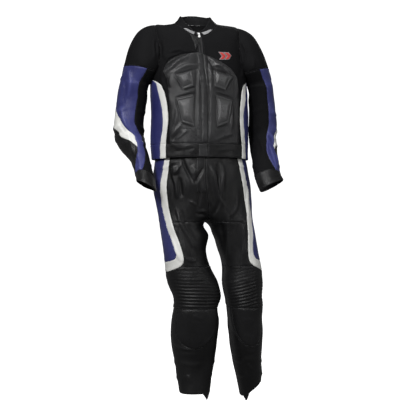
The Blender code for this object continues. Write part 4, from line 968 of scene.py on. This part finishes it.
class finishTree:
    # one material's nodes; add() makes any node from its type, its settings and its sockets

    def __init__(self, name, colour, roughness, **sockets):
        self.material = bpy.data.materials.new(name)
        self.material.use_nodes = True
        self.tree = self.material.node_tree
        self.shader = self.tree.nodes["Principled BSDF"]
        self.set(self.shader, {"Base Color": colour, "Roughness": roughness, **sockets})
        self.material.diffuse_color = (*colour, 1)

    def set(self, node, sockets):
        # links a wire to its socket, and writes any other value into it
        for key, value in sockets.items():
            if isinstance(value, wire):
                self.tree.links.new(value.socket, node.inputs[key])
            elif isinstance(value, tuple) and len(value) == 3 and node.inputs[key].type == "RGBA":
                node.inputs[key].default_value = (*value, 1)
            else:
                node.inputs[key].default_value = value

    def add(self, kind, settings=None, sockets=None, output=0):
        # the settings come first, since some of them change which sockets a node has
        node = self.tree.nodes.new("ShaderNode" + kind)
        for key, value in (settings or {}).items():
            setattr(node, key, value)
        self.set(node, sockets or {})
        return wire(self.tree, node.outputs[output])

    def attribute(self, name):
        return self.add("Attribute", {"attribute_name": name}, output=2)

    def mix(self, share, first, second):
        # the Mix node's sockets for colours are its inputs 6 and 7 and its output 2
        return self.add("Mix", {"data_type": "RGBA"}, {0: share, 6: first, 7: second}, output=2)

    def noise(self, vector, scale, detail=3.0, roughness=0.5):
        sockets = {"Vector": vector, "Scale": scale, "Detail": detail, "Roughness": roughness}
        return self.add("TexNoise", {}, sockets)

    def done(self, **sockets):
        self.set(self.shader, sockets)
        return self.material


def leather(name, deep, wornAndSheen, roughness, grain=1.0, shine=0.36):
    # cowhide: pebbled grain, soft cloudy colour, polished ridges, lighter worn edges by the seams, and
    # painted sheen and shade: ridges lighter in colour, partly as wear, and troughs darker
    tree = finishTree(name, deep, roughness, **{"Specular IOR Level": shine})
    place = tree.add("TexCoord", output=3)
    cloud = tree.noise(place, 14.0, 4.0, 0.6)
    mottle = tree.noise(place, 90.0, 3.0, 0.6)
    # painted sheen and shade: the colour runs lighter with a fold's height, partly as wear on the ridges, and
    # darker in the troughs
    ridge = (tree.attribute("fold") * 0.14 + 0.30).clamped()
    edge = (1.0 - tree.attribute("rim") * 0.16).clamped()
    share = (ridge * 0.55 + cloud * 0.35 + mottle * 0.25 - 0.15 + edge * 0.12).clamped()
    colour = tree.mix(share, deep, wornAndSheen)
    rough = (roughness + 0.20 * (mottle - 0.5) + 0.22 * (cloud - 0.5) - 0.10 * (ridge - 0.3)).clamped()
    pebble = tree.add("TexVoronoi", {"feature": "DISTANCE_TO_EDGE"}, {"Vector": place, "Scale": 620.0})
    pebble = (pebble * 3.2).clamped()
    crinkle = tree.noise(place, 240.0, 4.0, 0.65)
    height = pebble * 0.55 * grain + crinkle * 0.8
    bump = tree.add("Bump", {}, {"Strength": 0.55, "Distance": 0.0005, "Height": height})
    return tree.done(**{"Base Color": colour, "Roughness": rough, "Normal": bump})


def stretchCloth(name, deep, light):
    # ribbed stretch fabric: fine raised threads across the panel's own direction
    tree = finishTree(name, deep, 0.74, **{"Specular IOR Level": 0.10})
    place = tree.add("UVMap", {"uv_map": "UVMap"})
    u = tree.add("SeparateXYZ", {}, {"Vector": place})
    v = wire(tree.tree, u.socket.node.outputs["Y"])
    twill = (u * 3600.0 + v * 1800.0).sine() * 0.5 + 0.5
    cross = (v * 3600.0).sine() * 0.5 + 0.5
    threads = twill * 0.7 + cross * 0.3
    cloud = tree.noise(tree.add("TexCoord", output=3), 22.0, 4.0, 0.6)
    colour = tree.mix((threads * 0.45 + cloud * 0.5).clamped(), deep, light)
    bump = tree.add("Bump", {}, {"Strength": 0.5, "Distance": 0.0004, "Height": threads})
    return tree.done(**{"Base Color": colour, "Roughness": (0.66 + 0.16 * cloud).clamped(), "Normal": bump})


def meshLining(name, deep, light):
    # warp-knitted lining: rows of small round holes
    tree = finishTree(name, deep, 0.8, **{"Specular IOR Level": 0.2})
    place = tree.add("TexCoord", output=3)
    holes = tree.add("TexVoronoi", {"feature": "F1"}, {"Vector": place, "Scale": 420.0})
    knit = (holes * 1.6).clamped()
    cloud = tree.noise(place, 40.0, 2.0)
    colour = tree.mix((knit * 0.8 + cloud * 0.2).clamped(), deep, light)
    bump = tree.add("Bump", {}, {"Strength": 0.6, "Distance": 0.0006, "Height": knit})
    return tree.done(**{"Base Color": colour, "Normal": bump})


def plainTrim(name, deep, light, roughness, scale, metallic=0.0, bumpSize=0.0002):
    # moulded or woven trims: one colour, slightly clouded, with a fine surface
    tree = finishTree(name, deep, roughness, Metallic=metallic)
    place = tree.add("TexCoord", output=3)
    cloud = tree.noise(place, scale, 4.0, 0.6)
    grainy = tree.noise(place, scale * 6, 3.0, 0.6)
    bump = tree.add("Bump", {}, {"Strength": 0.4, "Distance": bumpSize, "Height": grainy})
    rough = (roughness + 0.18 * (cloud - 0.5)).clamped()
    return tree.done(**{"Base Color": tree.mix(cloud, deep, light), "Roughness": rough, "Normal": bump})


looks = {
    # chest and black are lit and shaded copies of one black leather: the chest front is painted lighter and
    # the rest, the trousers most of all, painted darker, as light that falls off downwards
    "black": leather("blackLeatherPaintedShade", (0.0028, 0.0028, 0.0031), (0.017, 0.017, 0.018), 0.38, shine=0.27),
    "chest": leather("chestLeatherPaintedLit", (0.0075, 0.0075, 0.0082), (0.040, 0.040, 0.042), 0.37, shine=0.34),
    # pad: a lighter copy of the same black leather, a painted sheen on the pads
    "pad": leather("padLeatherPaintedSheen", (0.016, 0.016, 0.017), (0.085, 0.085, 0.087), 0.35, shine=0.40),
    "rib": leather("ribLeather", (0.0030, 0.0030, 0.0033), (0.020, 0.020, 0.021), 0.42, shine=0.26),
    "blue": leather("blueLeather", (0.020, 0.022, 0.105), (0.072, 0.080, 0.260), 0.40, shine=0.30),
    "white": leather("whiteLeather", (0.74, 0.74, 0.71), (0.90, 0.90, 0.87), 0.45),
    "stretch": stretchCloth("blackStretchCloth", (0.0030, 0.0030, 0.0034), (0.0085, 0.0085, 0.0095)),
    "lining": meshLining("blackMeshLining", (0.008, 0.008, 0.009), (0.030, 0.030, 0.032)),
    "red": plainTrim("redRubber", (0.40, 0.028, 0.026), (0.54, 0.050, 0.045), 0.45, 120.0),
    "grey": plainTrim("greyRubber", (0.17, 0.17, 0.175), (0.34, 0.34, 0.35), 0.5, 160.0),
    "tape": plainTrim("zipTape", (0.008, 0.008, 0.009), (0.020, 0.020, 0.021), 0.7, 400.0),
    "teeth": plainTrim("zipTeeth", (0.008, 0.008, 0.009), (0.020, 0.020, 0.021), 0.35, 300.0),
    "metal": plainTrim("sliderMetal", (0.36, 0.36, 0.37), (0.62, 0.62, 0.63), 0.32, 260.0, 1.0),
    "enamel": plainTrim("pullEnamel", (0.74, 0.74, 0.73), (0.86, 0.86, 0.85), 0.35, 200.0),
    "blackThread": plainTrim("blackThread", (0.020, 0.020, 0.022), (0.045, 0.045, 0.048), 0.6, 800.0),
    "blueThread": plainTrim("blueThread", (0.030, 0.033, 0.140), (0.060, 0.065, 0.240), 0.6, 800.0),
    "whiteThread": plainTrim("whiteThread", (0.66, 0.66, 0.64), (0.80, 0.80, 0.78), 0.6, 800.0),
}
print("finishes made:", len(looks))

sides = {"L": "Left", "R": "Right"}


def bodyStrip(side, start, end, left, right, **more):
    # a patch of the torso between two seams, turned to its own side
    def edge(name):
        return lambda at: sideTurns(side, name(at))
    return patch(torso, start, end, edge(left), edge(right), **more)


def seam(name):
    # one of the side seams, as a function of the row
    return lambda at: bodySeam(at, name)


def yokeInner(side):
    # the yoke's inner edge: the zip above the chest panel, and that panel's seam below its start
    return lambda at: np.where(at <= form["chestStart"][side], zipEdge(at), chestEdge(side)(at))


def steady(turn):
    # an edge that stays at one turn
    return lambda at: turn + 0 * at


def mirrored(edge):
    # the same edge on the other side of the middle
    return lambda at: 360 - edge(at)


sideStrips = (
    ("sideStripe", "side_stripe", (7, 10), seam("stripeFront"), seam("stripeBack"), "white"),
    ("sidePanel", "side_panel", (7, 10), seam("stripeBack"), seam("back"), "blue"),
    ("hemFront", "hem_front", (10, 11), zipEdge, seam("stripeFront"), "black"),
    ("hemStripe", "hem_stripe", (10, 11), seam("stripeFront"), seam("stripeBack"), "white"),
    ("hemSide", "hem_side", (10, 11), seam("stripeBack"), seam("back"), "blue"),
)
for side, word in sides.items():
    chest = bodyStrip(side, form["chestStart"][side], 10, zipEdge, chestEdge(side), step=grid["fineStep"])
    panel(f"frontChest{word}", f"front_chest_{side}", [chest], "chest")
    yoke = bodyStrip(side, 0, 10, yokeInner(side), yokeEdge)
    panel(f"frontYoke{word}", f"front_yoke_{side}", [yoke], "stretch")
    for name, node, rows, left, right, look in sideStrips:
        panel(f"{name}{word}", f"{node}_{side}", [bodyStrip(side, *rows, left, right)], look)

panel("backYoke", "back_yoke", [patch(torso, 0, form["yokeEnd"], steady(90), steady(270))], "blue")
panel("backPanel", "back_panel", [patch(torso, form["yokeEnd"], 10, backEdge, mirrored(backEdge))], "black")
panel("hemBack", "hem_back", [patch(torso, 10, 11, seam("back"), mirrored(seam("back")))], "black")
collarBand = patch(torso, -1, 0, zipEdge, mirrored(zipEdge), step=grid["trimStep"])
panel("collarBand", "collar", [collarBand], "stretch", flatCreases=0.4)
print("body of the jacket done")

for side, word in sides.items():
    twist = 1 if side == "R" else -1

    def surface(row, turn, side=side):
        return sleeve(side, row, turn)

    def sleeveSeam(name, twist=twist):
        # a seam's turn at a row, twisted round the arm the other way on the other side
        def at(row):
            turn, twisted = (smooth(row, sleeveSeams["row"], sleeveSeams[key]) for key in (name, "twist"))
            return turn + twist * twisted
        return at

    front, back = sleeveSeam("front"), sleeveSeam("back")

    # the white stripe lies between top and low, and neither passes the back seam
    def top(row, back=back, raw=sleeveSeam("stripeTop")):
        return np.minimum(raw(row), back(row))

    def low(row, back=back, top=top, raw=sleeveSeam("stripeLow")):
        return np.where(row < stripeTips[1], np.minimum(raw(row), back(row)), top(row))

    def innerStart(row, side=side):
        return armEnds(side, row)[0]

    def innerEnd(row, side=side):
        return armEnds(side, row)[1]

    capSeam = form["capSeam"]
    panel(f"sleeveBlue{word}", f"sleeve_blue_{side}", [patch(surface, capSeam, 7, front, top)], "blue")
    panel(f"sleeveStripe{word}", f"sleeve_stripe_{side}", [patch(surface, *stripeTips, top, low)], "white")
    panel(f"sleeveElbow{word}", f"sleeve_elbow_{side}", [patch(surface, elbowTip, 7, low, back)], "black")
    inner = [patch(surface, capSeam, 7, back, innerEnd), patch(surface, capSeam, 7, innerStart, front)]
    panel(f"sleeveInner{word}", f"sleeve_inner_{side}", inner, "stretch")

    def capEdge(share, side=side):
        # 0 is the cap's edge at the front of the armhole and 1 its edge at the back
        def at(row):
            start, end = armEnds(side, row)
            return start + share * (end - start)
        return at

    cap = patch(surface, form["capTop"], capSeam, capEdge(0), capEdge(1))
    panel(f"shoulderCap{word}", f"shoulder_cap_{side}", [cap], "stretch")
    panel(f"cuff{word}", f"cuff_{side}", [patch(surface, 7, 8, steady(-90), steady(270))], "black")
print("sleeves done")

ribs = {
    "pitch": 0.0132,
    "height": 0.0044,
    "slant": {"L": -0.24, "R": 0.03},
    "wander": 0.0015,
    "bendAt": -1.035,  # above this height the pleats are pulled nearly flat
    "bendSoft": 0.012,
    "flatShare": 0.14,
    "backShare": 0.18,
}


def kneeRibs(side):
    # the pleats of one knee, as a height over its points
    def relief(points, norms, distance):
        # half sine waves side by side with narrow valleys, deepest low on the front of the knee
        slanted = points[:, 2] + ribs["slant"][side] * points[:, 0]
        phase = (slanted + ribs["wander"] * waves(points, 40, 21)) / ribs["pitch"]
        pleat = np.abs(np.sin(np.pi * phase)) ** 0.85 - 0.62
        frontal = np.clip(-norms[:, 1], 0, 1) ** 1.3
        frontal = ribs["backShare"] + (1 - ribs["backShare"]) * frontal
        bent = 1 / (1 + np.exp((points[:, 2] - ribs["bendAt"]) / ribs["bendSoft"]))
        bent = ribs["flatShare"] + (1 - ribs["flatShare"]) * bent
        return ribs["height"] * pleat * frontal * bent * np.clip(distance / 0.012, 0, 1)
    return relief


kneeSwell = {"height": 0.0045, "rise": 0.012}


def kneeRound(points, norms, distance):
    # the pad under the leather swells the panel, rising from its seam as one minus an exponential
    return kneeSwell["height"] * (1 - np.exp(-distance / kneeSwell["rise"]))


# the seams of a leg, each as the turn it has at a height
for side, word in sides.items():
    def surface(z, turn, side=side):
        return leg(side, z, turn)

    def stripeSeam(edge, side=side):
        return lambda z: stripeTurn(side, z, edge)

    def inseam(z, side=side):
        return legStart(side, z)

    def backMiddle(z, side=side):
        return 180 - legStart(side, z)

    def ribEdge(z, side=side):
        return np.where(z >= form["stripeEnd"], stripeTurn(side, z, "front"), form["sideBack"])

    def padEdge(name):
        return lambda z: smooth(z, padEdges["z"], padEdges[name])

    hip, knee, kneeBack, crotch = form["hip"], form["kneeTop"], form["kneeBack"], form["crotch"]
    stripeFront, stripeBack = stripeSeam("front"), stripeSeam("back")
    outside, inside = steady(form["sideBack"]), steady(-90)

    def thigh(end, left, right, surface=surface):
        # one patch down to the crotch and one below it, with the same columns so that they weld
        upper = patch(surface, hip, crotch + 2e-6, left, right)
        across = upper[2][0]
        shares = (across - across[0]) / (across[-1] - across[0])
        return [upper, patch(surface, crotch, end, left, right, columns=shares)]

    panel(f"thighFront{word}", f"thigh_front_{side}", thigh(knee, inseam, stripeFront), "black")
    stripe = patch(surface, hip, form["stripeEnd"], stripeFront, stripeBack)
    panel(f"legStripe{word}", f"leg_stripe_{side}", [stripe], "white")
    blue = patch(surface, hip, form["blueEnd"], stripeBack, outside)
    panel(f"legBlue{word}", f"leg_blue_{side}", [blue], "blue")
    panel(f"thighBack{word}", f"thigh_back_{side}", thigh(kneeBack, outside, backMiddle), "black")
    pleated = patch(surface, knee, form["ribEnd"], inside, ribEdge, step=0.0022, acrossStep=0.0045)
    panel(f"kneeRibs{word}", f"knee_ribs_{side}", [pleated], "rib", relief=kneeRibs(side), flatCreases=0.5)
    rounded = patch(surface, form["ribEnd"], form["padEnd"], padEdge("inner"), padEdge("outer"))
    panel(f"kneePad{word}", f"knee_pad_{side}", [rounded], "black", relief=kneeRound, flatCreases=0.5)

    # the shin: a patch below the knee pad and one on each side of it, whose columns meet its lowest edge
    tip = padEdges["inner"][-1], padEdges["outer"][-1]
    ankle = patch(surface, form["padEnd"], form["legEnd"], inside, outside)
    whole = ankle[2][0]
    toPad, fromPad = whole[whole <= tip[0]], whole[whole >= tip[1]]
    toPad = np.append(toPad, tip[0]) if toPad[-1] < tip[0] else toPad
    fromPad = np.insert(fromPad, 0, tip[1]) if fromPad[0] > tip[1] else fromPad
    columns = np.concatenate([toPad, [sum(tip) / 2], fromPad])
    shares = (columns + 90) / (form["sideBack"] + 90)
    ankle = patch(surface, form["padEnd"], form["legEnd"], inside, outside, columns=shares)
    shares = (toPad + 90) / (tip[0] + 90)
    inner = patch(surface, form["ribEnd"], form["padEnd"], inside, padEdge("inner"), columns=shares)
    shares = (fromPad - tip[1]) / (form["sideBack"] - tip[1])
    outer = patch(surface, form["ribEnd"], form["padEnd"], padEdge("outer"), outside, columns=shares)
    panel(f"shin{word}", f"shin_{side}", [ankle, inner, outer], "black")
    calf = patch(surface, kneeBack, form["legEnd"], outside, steady(270))
    panel(f"calf{word}", f"calf_{side}", [calf], "black")
print("trousers done")


def frontStrip(start, end, lowX, highX, **more):
    # a strip of the front between two distances from the middle, below zero on the right
    def edge(x):
        return lambda at: np.sign(x) * turnAt(at, abs(x))
    return patch(torso, start, end, edge(lowX), edge(highX), **more)


def namedEdge(shape, name):
    # an edge on the front, from a table of its distances from the middle
    def at(row):
        x = smooth(row, shape["row"], shape[name])
        return np.sign(x) * turnAt(row, np.abs(x))
    return at


neckFlap = table(
    "row right left",
    [(0.05, -0.037, -0.011), (0.5, -0.031, -0.007), (0.95, -0.025, -0.002), (1.62, -0.023, -0.016),
     (1.93, -0.0225, -0.0205)],
)
sewn = {"wall": 0.0016, "lift": form["lift"]}
zipTape = {"wall": 0.0010, "lift": -0.0008}
flap = {
    "end": 9.97,
    "right": -0.016,
    "left": 0.0065,
    "step": 0.0036,
    "tabRows": (10.05, 10.96),
    "tabRight": -0.026,
    "swell": 0.0010,
    "edge": 0.004,
    "channelAt": 0.0085,
    "channelDepth": 0.0006,
    "channelWidth": 0.0012,
}
fly = {"top": -0.49, "end": -0.67, "turns": (0.5, 10)}


def flapRelief(points, norms, distance):
    # a flap of two layers: a rounded edge, and a stitched channel beside its middle
    channel = np.exp(-(((distance - flap["channelAt"]) / flap["channelWidth"]) ** 2))
    return flap["swell"] * (1 - np.exp(-distance / flap["edge"])) - flap["channelDepth"] * channel


tape = frontStrip(-0.9, 11, -form["zipHalf"], form["zipHalf"], step=0.004)
panel("frontZipTape", "front_zip", [tape], "tape", seams=False, **zipTape)
strip = frontStrip(form["flapStart"], flap["end"], flap["right"], flap["left"], step=flap["step"])
panel("zipFlap", "zip_flap", [strip], "chest", relief=flapRelief, **sewn)
strip = frontStrip(*flap["tabRows"], flap["tabRight"], flap["left"], step=grid["trimStep"])
panel("hemTab", "hem_tab", [strip], "chest", relief=flapRelief, **sewn)
edges = namedEdge(neckFlap, "right"), namedEdge(neckFlap, "left")
strip = patch(torso, neckFlap["row"][0], neckFlap["row"][-1], *edges, step=grid["trimStep"])
panel("neckFlap", "neck_flap", [strip], "rib", relief=flapRelief, **sewn)


def flyEdge(turn):
    # so many degrees past the trousers' middle
    return lambda z: legStart("R", z) + turn


start, end = (flyEdge(turn) for turn in fly["turns"])
strip = patch(lambda z, turn: leg("R", z, turn), fly["top"], fly["end"], start, end, step=flap["step"])
panel("flyFlap", "fly", [strip], "black", relief=flapRelief, **sewn)

badgeCorners = [(2.45, 0.071), (3.10, 0.119), (4.0, 0.119), (3.55, 0.072)]
collarCorners = [(-0.66, 0.013), (-0.34, 0.046), (-0.06, 0.058), (-0.10, 0.020)]


def cornerSurface(corners, side):
    # a four-sided patch on the front: both parameters run from 0 to 1 between its corners
    (r0, x0), (r1, x1), (r2, x2), (r3, x3) = corners

    def surface(t, s):
        rows = (1 - t) * ((1 - s) * r0 + s * r1) + t * ((1 - s) * r3 + s * r2)
        xs = (1 - t) * ((1 - s) * x0 + s * x1) + t * ((1 - s) * x3 + s * x2)
        return torso(rows, sideTurns(side, turnAt(rows, xs)))
    return surface


def dome(name, node, surface, look, height, base, count, power, profile=None):
    # a closed pad: its top rises steeply from the outline to a nearly flat crown, its base lies on the panel
    share = 0.5 - 0.5 * np.cos(np.pi * np.linspace(0, 1, count + 1))
    t, s = np.meshgrid(share, share, indexing="ij")
    points = surface(t, s)
    down = surface(t + 1e-4, s) - surface(t - 1e-4, s)
    across = surface(t, s + 1e-4) - surface(t, s - 1e-4)
    norms = np.cross(down, across)
    norms /= np.maximum(np.linalg.norm(norms, axis=-1, keepdims=True), 1e-15)
    norms *= np.sign(-norms[..., 1:2].mean())
    crown = (16 * t * (1 - t) * s * (1 - s)) ** power
    crown = profile(crown, t, s) if profile else crown
    flatPoints, flatNorms = points.reshape(-1, 3), norms.reshape(-1, 3)
    wave = creaseHeight(flatPoints, flatNorms)
    wave += unevenness["broad"] * waves(flatPoints, unevenness["broadScale"], 3)
    wave = wave.reshape(t.shape)
    upper = points + norms * (wave + base + height * crown)[..., None]
    lower = points + norms * (wave + base - 0.0008)[..., None]
    cells = gridCells(*t.shape)
    corner = upper.reshape(-1, 3)[cells]
    facing = np.cross(corner[:, 2] - corner[:, 0], corner[:, 3] - corner[:, 1])
    if (facing * flatNorms[cells[:, 0]]).sum() < 0:
        cells = cells[:, ::-1]
    border = borderEdges(cells, np.empty((0, 3), np.int64))
    size = t.size
    rim = np.stack([border[:, 1], border[:, 0], border[:, 0] + size, border[:, 1] + size], axis=1)
    faces = np.concatenate([cells, cells[:, ::-1] + size, rim])
    both = np.concatenate([upper.reshape(-1, 3), lower.reshape(-1, 3)])
    # the crown is lightened in colour as the ridges are, a painted sheen, and no edge counts as a seam
    fold = np.concatenate([crown.ravel() * 4, crown.ravel() * 0])
    obj = makeMesh(name, both, faces.tolist(), [looks[look]], None, {"fold": fold, "rim": fold * 0 + 9})
    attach(obj, "suit")
    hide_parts(node)
    return obj, upper, norms


def sunkBorder(crown, t, s):
    # a raised rim, a sunk channel inside it and a crowned middle
    edge = np.minimum(np.minimum(t, 1 - t), np.minimum(s, 1 - s))
    channel = np.exp(-(((edge - 0.085) / 0.030) ** 2))
    middle = np.clip((edge - 0.10) / 0.22, 0, 1)
    return np.clip(crown, 0, 1) * (0.48 - 0.40 * channel) + 0.70 * middle * middle * (3 - 2 * middle)


padShape = {"height": 0.0052, "base": form["lift"], "count": 40, "power": 0.22, "profile": sunkBorder}
collarShape = {"height": 0.0014, "base": 0.0012, "count": 16, "power": 0.12}
padStitchLine = 5  # the line of a pad's grid that the stitches follow
for side, word in sides.items():
    for name, (node, corners) in padCorners.items():
        outline = cornerSurface(corners, side)
        pad, top, norms = dome(f"{name}{word}", f"{node}_{side}", outline, "pad", **padShape)
        k = padStitchLine
        for line in ((slice(k, -k), k), (slice(k, -k), -1 - k), (k, slice(k, -k)), (-1 - k, slice(k, -k))):
            stitchPaths["black"].append((top[line], norms[line]))
    outline = cornerSurface(collarCorners, side)
    dome(f"collarPatch{word}", f"collar_patch_{side}", outline, "grey", **collarShape)
print("pads and flaps done")

# the chest badge: two plain chevrons, red on a grey edge
chevron = {"starts": (0.02, 0.46), "thick": 0.30, "reach": 0.24}
shades = {"grey": {"edge": 0.055, "height": 0.0008}, "red": {"edge": 0.0, "height": 0.0020}}
badgeSurface = cornerSurface(badgeCorners, "L")


def chevronArm(start, top, edge):
    # one arm: a slanted band from the outer end to the point at half height
    first, last = (0.04 - edge, 0.5) if top else (0.96 + edge, 0.5)
    width = chevron["thick"] + 2 * edge

    def surface(t, s):
        down = first + (last - first) * t
        return badgeSurface(down, start - edge + chevron["reach"] * t + width * s)
    return surface


for number, start in enumerate(chevron["starts"], 1):
    for top, armWord in ((True, "Top"), (False, "Low")):
        for shade, size in shades.items():
            name = f"badge{shade.capitalize()}{armWord}{number}"
            arm = chevronArm(start, top, size["edge"])
            dome(name, "chest_badge", arm, shade, size["height"], form["lift"], count=10, power=0.12)
print("badge done")

def placed(template, faces, centres, along, outward):
    # copies of a small shape, its x laid along a line and its z outwards
    side = np.cross(outward, along)
    side /= np.maximum(np.linalg.norm(side, axis=1, keepdims=True), 1e-12)
    outward = np.cross(along, side)
    axes = np.stack([along, side, outward], axis=1)
    points = np.einsum("kj,njc->nkc", template, axes) + centres[:, None]
    shift = np.arange(len(centres))[:, None, None] * len(template)
    return points.reshape(-1, 3), [(faces4 + shift).reshape(-1, faces4.shape[1]) for faces4 in faces]


def roundedBar(length, radius, sidesCount=4):
    # a short thread: rings that narrow to its two ends, each closed by one face
    shape = np.array([(-0.5, 0.45), (0.0, 1.0), (0.5, 0.45)])
    angle = np.linspace(0, 2 * np.pi, sidesCount, endpoint=False)
    lengthwise = np.repeat(shape[:, 0] * length, sidesCount)
    radii = np.repeat(shape[:, 1] * radius, sidesCount)
    angle = np.tile(angle, len(shape))
    points = np.stack([lengthwise, radii * np.cos(angle), radii * np.sin(angle)], axis=1)
    index = np.arange(len(points)).reshape(len(shape), sidesCount)
    nextOne = np.roll(index, -1, axis=1)
    quads = np.stack([index[:-1], index[1:], nextOne[1:], nextOne[:-1]], axis=-1).reshape(-1, 4)[:, ::-1]
    caps = np.stack([index[0][::-1], index[-1]])
    return points, [quads, caps]


def resample(points, norms, pitch):
    # evenly spaced places along a line, with their directions and normals
    steps = np.linalg.norm(np.diff(points, axis=0), axis=1)
    reached = np.concatenate([[0], np.cumsum(steps)])
    if reached[-1] < 3 * pitch:
        return None
    at = np.arange(pitch / 2, reached[-1] - pitch / 2, pitch)

    def between(where, values):
        # each coordinate read off at a length along the line
        return np.stack([np.interp(where, reached, values[:, i]) for i in range(3)], axis=1)

    place = between(at, points)
    along = between(at + pitch / 2, points) - between(at - pitch / 2, points)
    along /= np.maximum(np.linalg.norm(along, axis=1, keepdims=True), 1e-12)
    out = between(at, norms)
    return place, along, out / np.linalg.norm(out, axis=1, keepdims=True)


thread = {"pitch": 0.0052, "length": 0.0040, "radius": 0.00042, "sink": 0.00010}
threadPoints, threadFaces = roundedBar(thread["length"], thread["radius"])
for colour, paths in stitchPaths.items():
    found = [resample(points, norms, thread["pitch"]) for points, norms in paths]
    found = [item for item in found if item is not None]
    place, along, out = (np.concatenate([item[i] for item in found]) for i in range(3))
    points, faces = placed(threadPoints, threadFaces, place + out * thread["sink"], along, out)
    faces = [face for group in faces for face in group.tolist()]
    stitches = makeMesh(f"{colour}Stitching", points, faces, [looks[f"{colour}Thread"]])
    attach(stitches, "suit")
    print(colour, "stitches:", len(place))

teeth = {
    "pitch": 0.0026,
    "size": (0.0015, 0.0044, 0.0014),
    "offset": 0.0011,  # every second tooth stands this far to the left, and the others to the right
    "sink": 0.0002,
    "rows": (-0.86, 10.95),
}
rowsFine = np.linspace(*teeth["rows"], 900)
zipLine = torso(rowsFine, 0 * rowsFine)
zipNormals = surfaceNormals(torso, rowsFine, 0 * rowsFine)
zipNormals *= np.sign(-zipNormals[:, 1:2].mean())
place, along, out = resample(zipLine, zipNormals, teeth["pitch"])
outline = ((-0.5, -0.5), (0.5, -0.4), (0.5, 0.4), (-0.5, 0.5))
tooth = np.array([(x, y, z) for z in (-0.5, 0.5) for x, y in outline]) * teeth["size"]
toothFaces = [np.array([(3, 2, 1, 0), (4, 5, 6, 7), (0, 1, 5, 4), (1, 2, 6, 5), (2, 3, 7, 6), (3, 0, 4, 7)])]
turnAbout = np.where(np.arange(len(place)) % 2, 1.0, -1.0)[:, None]
sideways = turnAbout * np.cross(out, along) * teeth["offset"]
points, faces = placed(tooth, toothFaces, place + sideways - out * teeth["sink"], along, out)
zipTeeth = makeMesh("zipTeeth", points, faces[0].tolist(), [looks["teeth"]], sharp=30)
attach(zipTeeth, "suit")
print("zip teeth:", len(place))

for node, look in (("zip_slider", "metal"), ("zip_pull", "enamel")):
    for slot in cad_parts[node].material_slots:
        slot.material = looks[look]

studio = {"floor": -1.535, "radius": 6.5, "bend": 1.6, "height": 6.0, "glow": 0.92, "air": 0.16}
# the backdrop's outline, turned round the upright axis: a floor, a quarter circle and a wall
angle = np.linspace(0, np.pi / 2, 20)
wallStart = studio["radius"] - studio["bend"]
outwards = np.concatenate([[0.0], wallStart + studio["bend"] * np.sin(angle), [studio["radius"]]])[:, None]
upwards = np.concatenate([[0], studio["bend"] * (1 - np.cos(angle)), [studio["height"]]])[:, None]
around = np.linspace(0, 2 * np.pi, 65)[None, :]
level = upwards + studio["floor"] + 0 * around
sweep = np.stack([outwards * np.cos(around), outwards * np.sin(around), level], axis=-1)
paper = finishTree("palePaper", (0.88, 0.88, 0.88), 0.9, **{"Specular IOR Level": 0.1})
paper = paper.done(**{"Emission Color": (1.0, 1.0, 1.0), "Emission Strength": studio["glow"]})
cells = gridCells(*sweep.shape[:2])[:, ::-1]
backdrop = makeMesh("backdrop", sweep.reshape(-1, 3), cells.tolist(), [paper])
# the white paper doesn't light the suit: only the lamps and the room's air do
backdrop.visible_diffuse = backdrop.visible_glossy = backdrop.visible_shadow = False


def softLight(name, place, aim, size, power):
    # a rectangular lamp turned towards a point: tilt and heading come from the line between the two
    data = bpy.data.lights.new(name, "AREA")
    data.shape, data.size, data.size_y = "RECTANGLE", *size
    data.energy = power
    lamp = bpy.data.objects.new(name, data)
    away = np.array(place, float) - np.array(aim, float)
    lamp.location = place
    tilt, heading = math.atan2(math.hypot(away[0], away[1]), away[2]), math.atan2(away[0], -away[1])
    lamp.rotation_euler = (tilt, 0, heading)
    bpy.context.scene.collection.objects.link(lamp)


lamps = {
    "keyLight": {"place": (-1.7, -2.7, 1.1), "aim": (0, 0, -0.5), "size": (0.8, 1.0), "power": 95},
    "fillLight": {"place": (2.6, -2.6, 0.2), "aim": (0, 0, -0.6), "size": (0.6, 1.2), "power": 19},
    "topLight": {"place": (0, -0.5, 2.2), "aim": (0, 0, -0.4), "size": (1.4, 0.8), "power": 22},
    "rearLight": {"place": (1.6, 3.4, 1.6), "aim": (0, 0, -0.6), "size": (1.2, 1.6), "power": 60},
}
for name, lamp in lamps.items():
    softLight(name, **lamp)
world = bpy.data.worlds.new("studioAir")
world.use_nodes = True
world.node_tree.nodes["Background"].inputs["Color"].default_value = (1, 1, 1, 1)
world.node_tree.nodes["Background"].inputs["Strength"].default_value = studio["air"]
bpy.context.scene.world = world
bpy.context.scene.view_settings.view_transform = "Standard"

lens = {"azimuth": -10.0, "distance": 4.0, "height": -0.70, "focal": 90.0, "sensor": 36.0}
turned = math.radians(lens["azimuth"])
camera = bpy.data.objects.new("camera", bpy.data.cameras.new("camera"))
camera.data.lens = lens["focal"]
camera.data.sensor_width = lens["sensor"]
aside, back = lens["distance"] * math.sin(turned), lens["distance"] * math.cos(turned)
camera.location = (aside, -back, lens["height"])
camera.rotation_euler = (math.pi / 2, 0, turned)
bpy.context.scene.collection.objects.link(camera)
bpy.context.scene.camera = camera

print("faces in panels:", panelCount["faces"])
for row in cuts:
    print("cut %s %.3f x %.3f m, %.4f m2" % row)
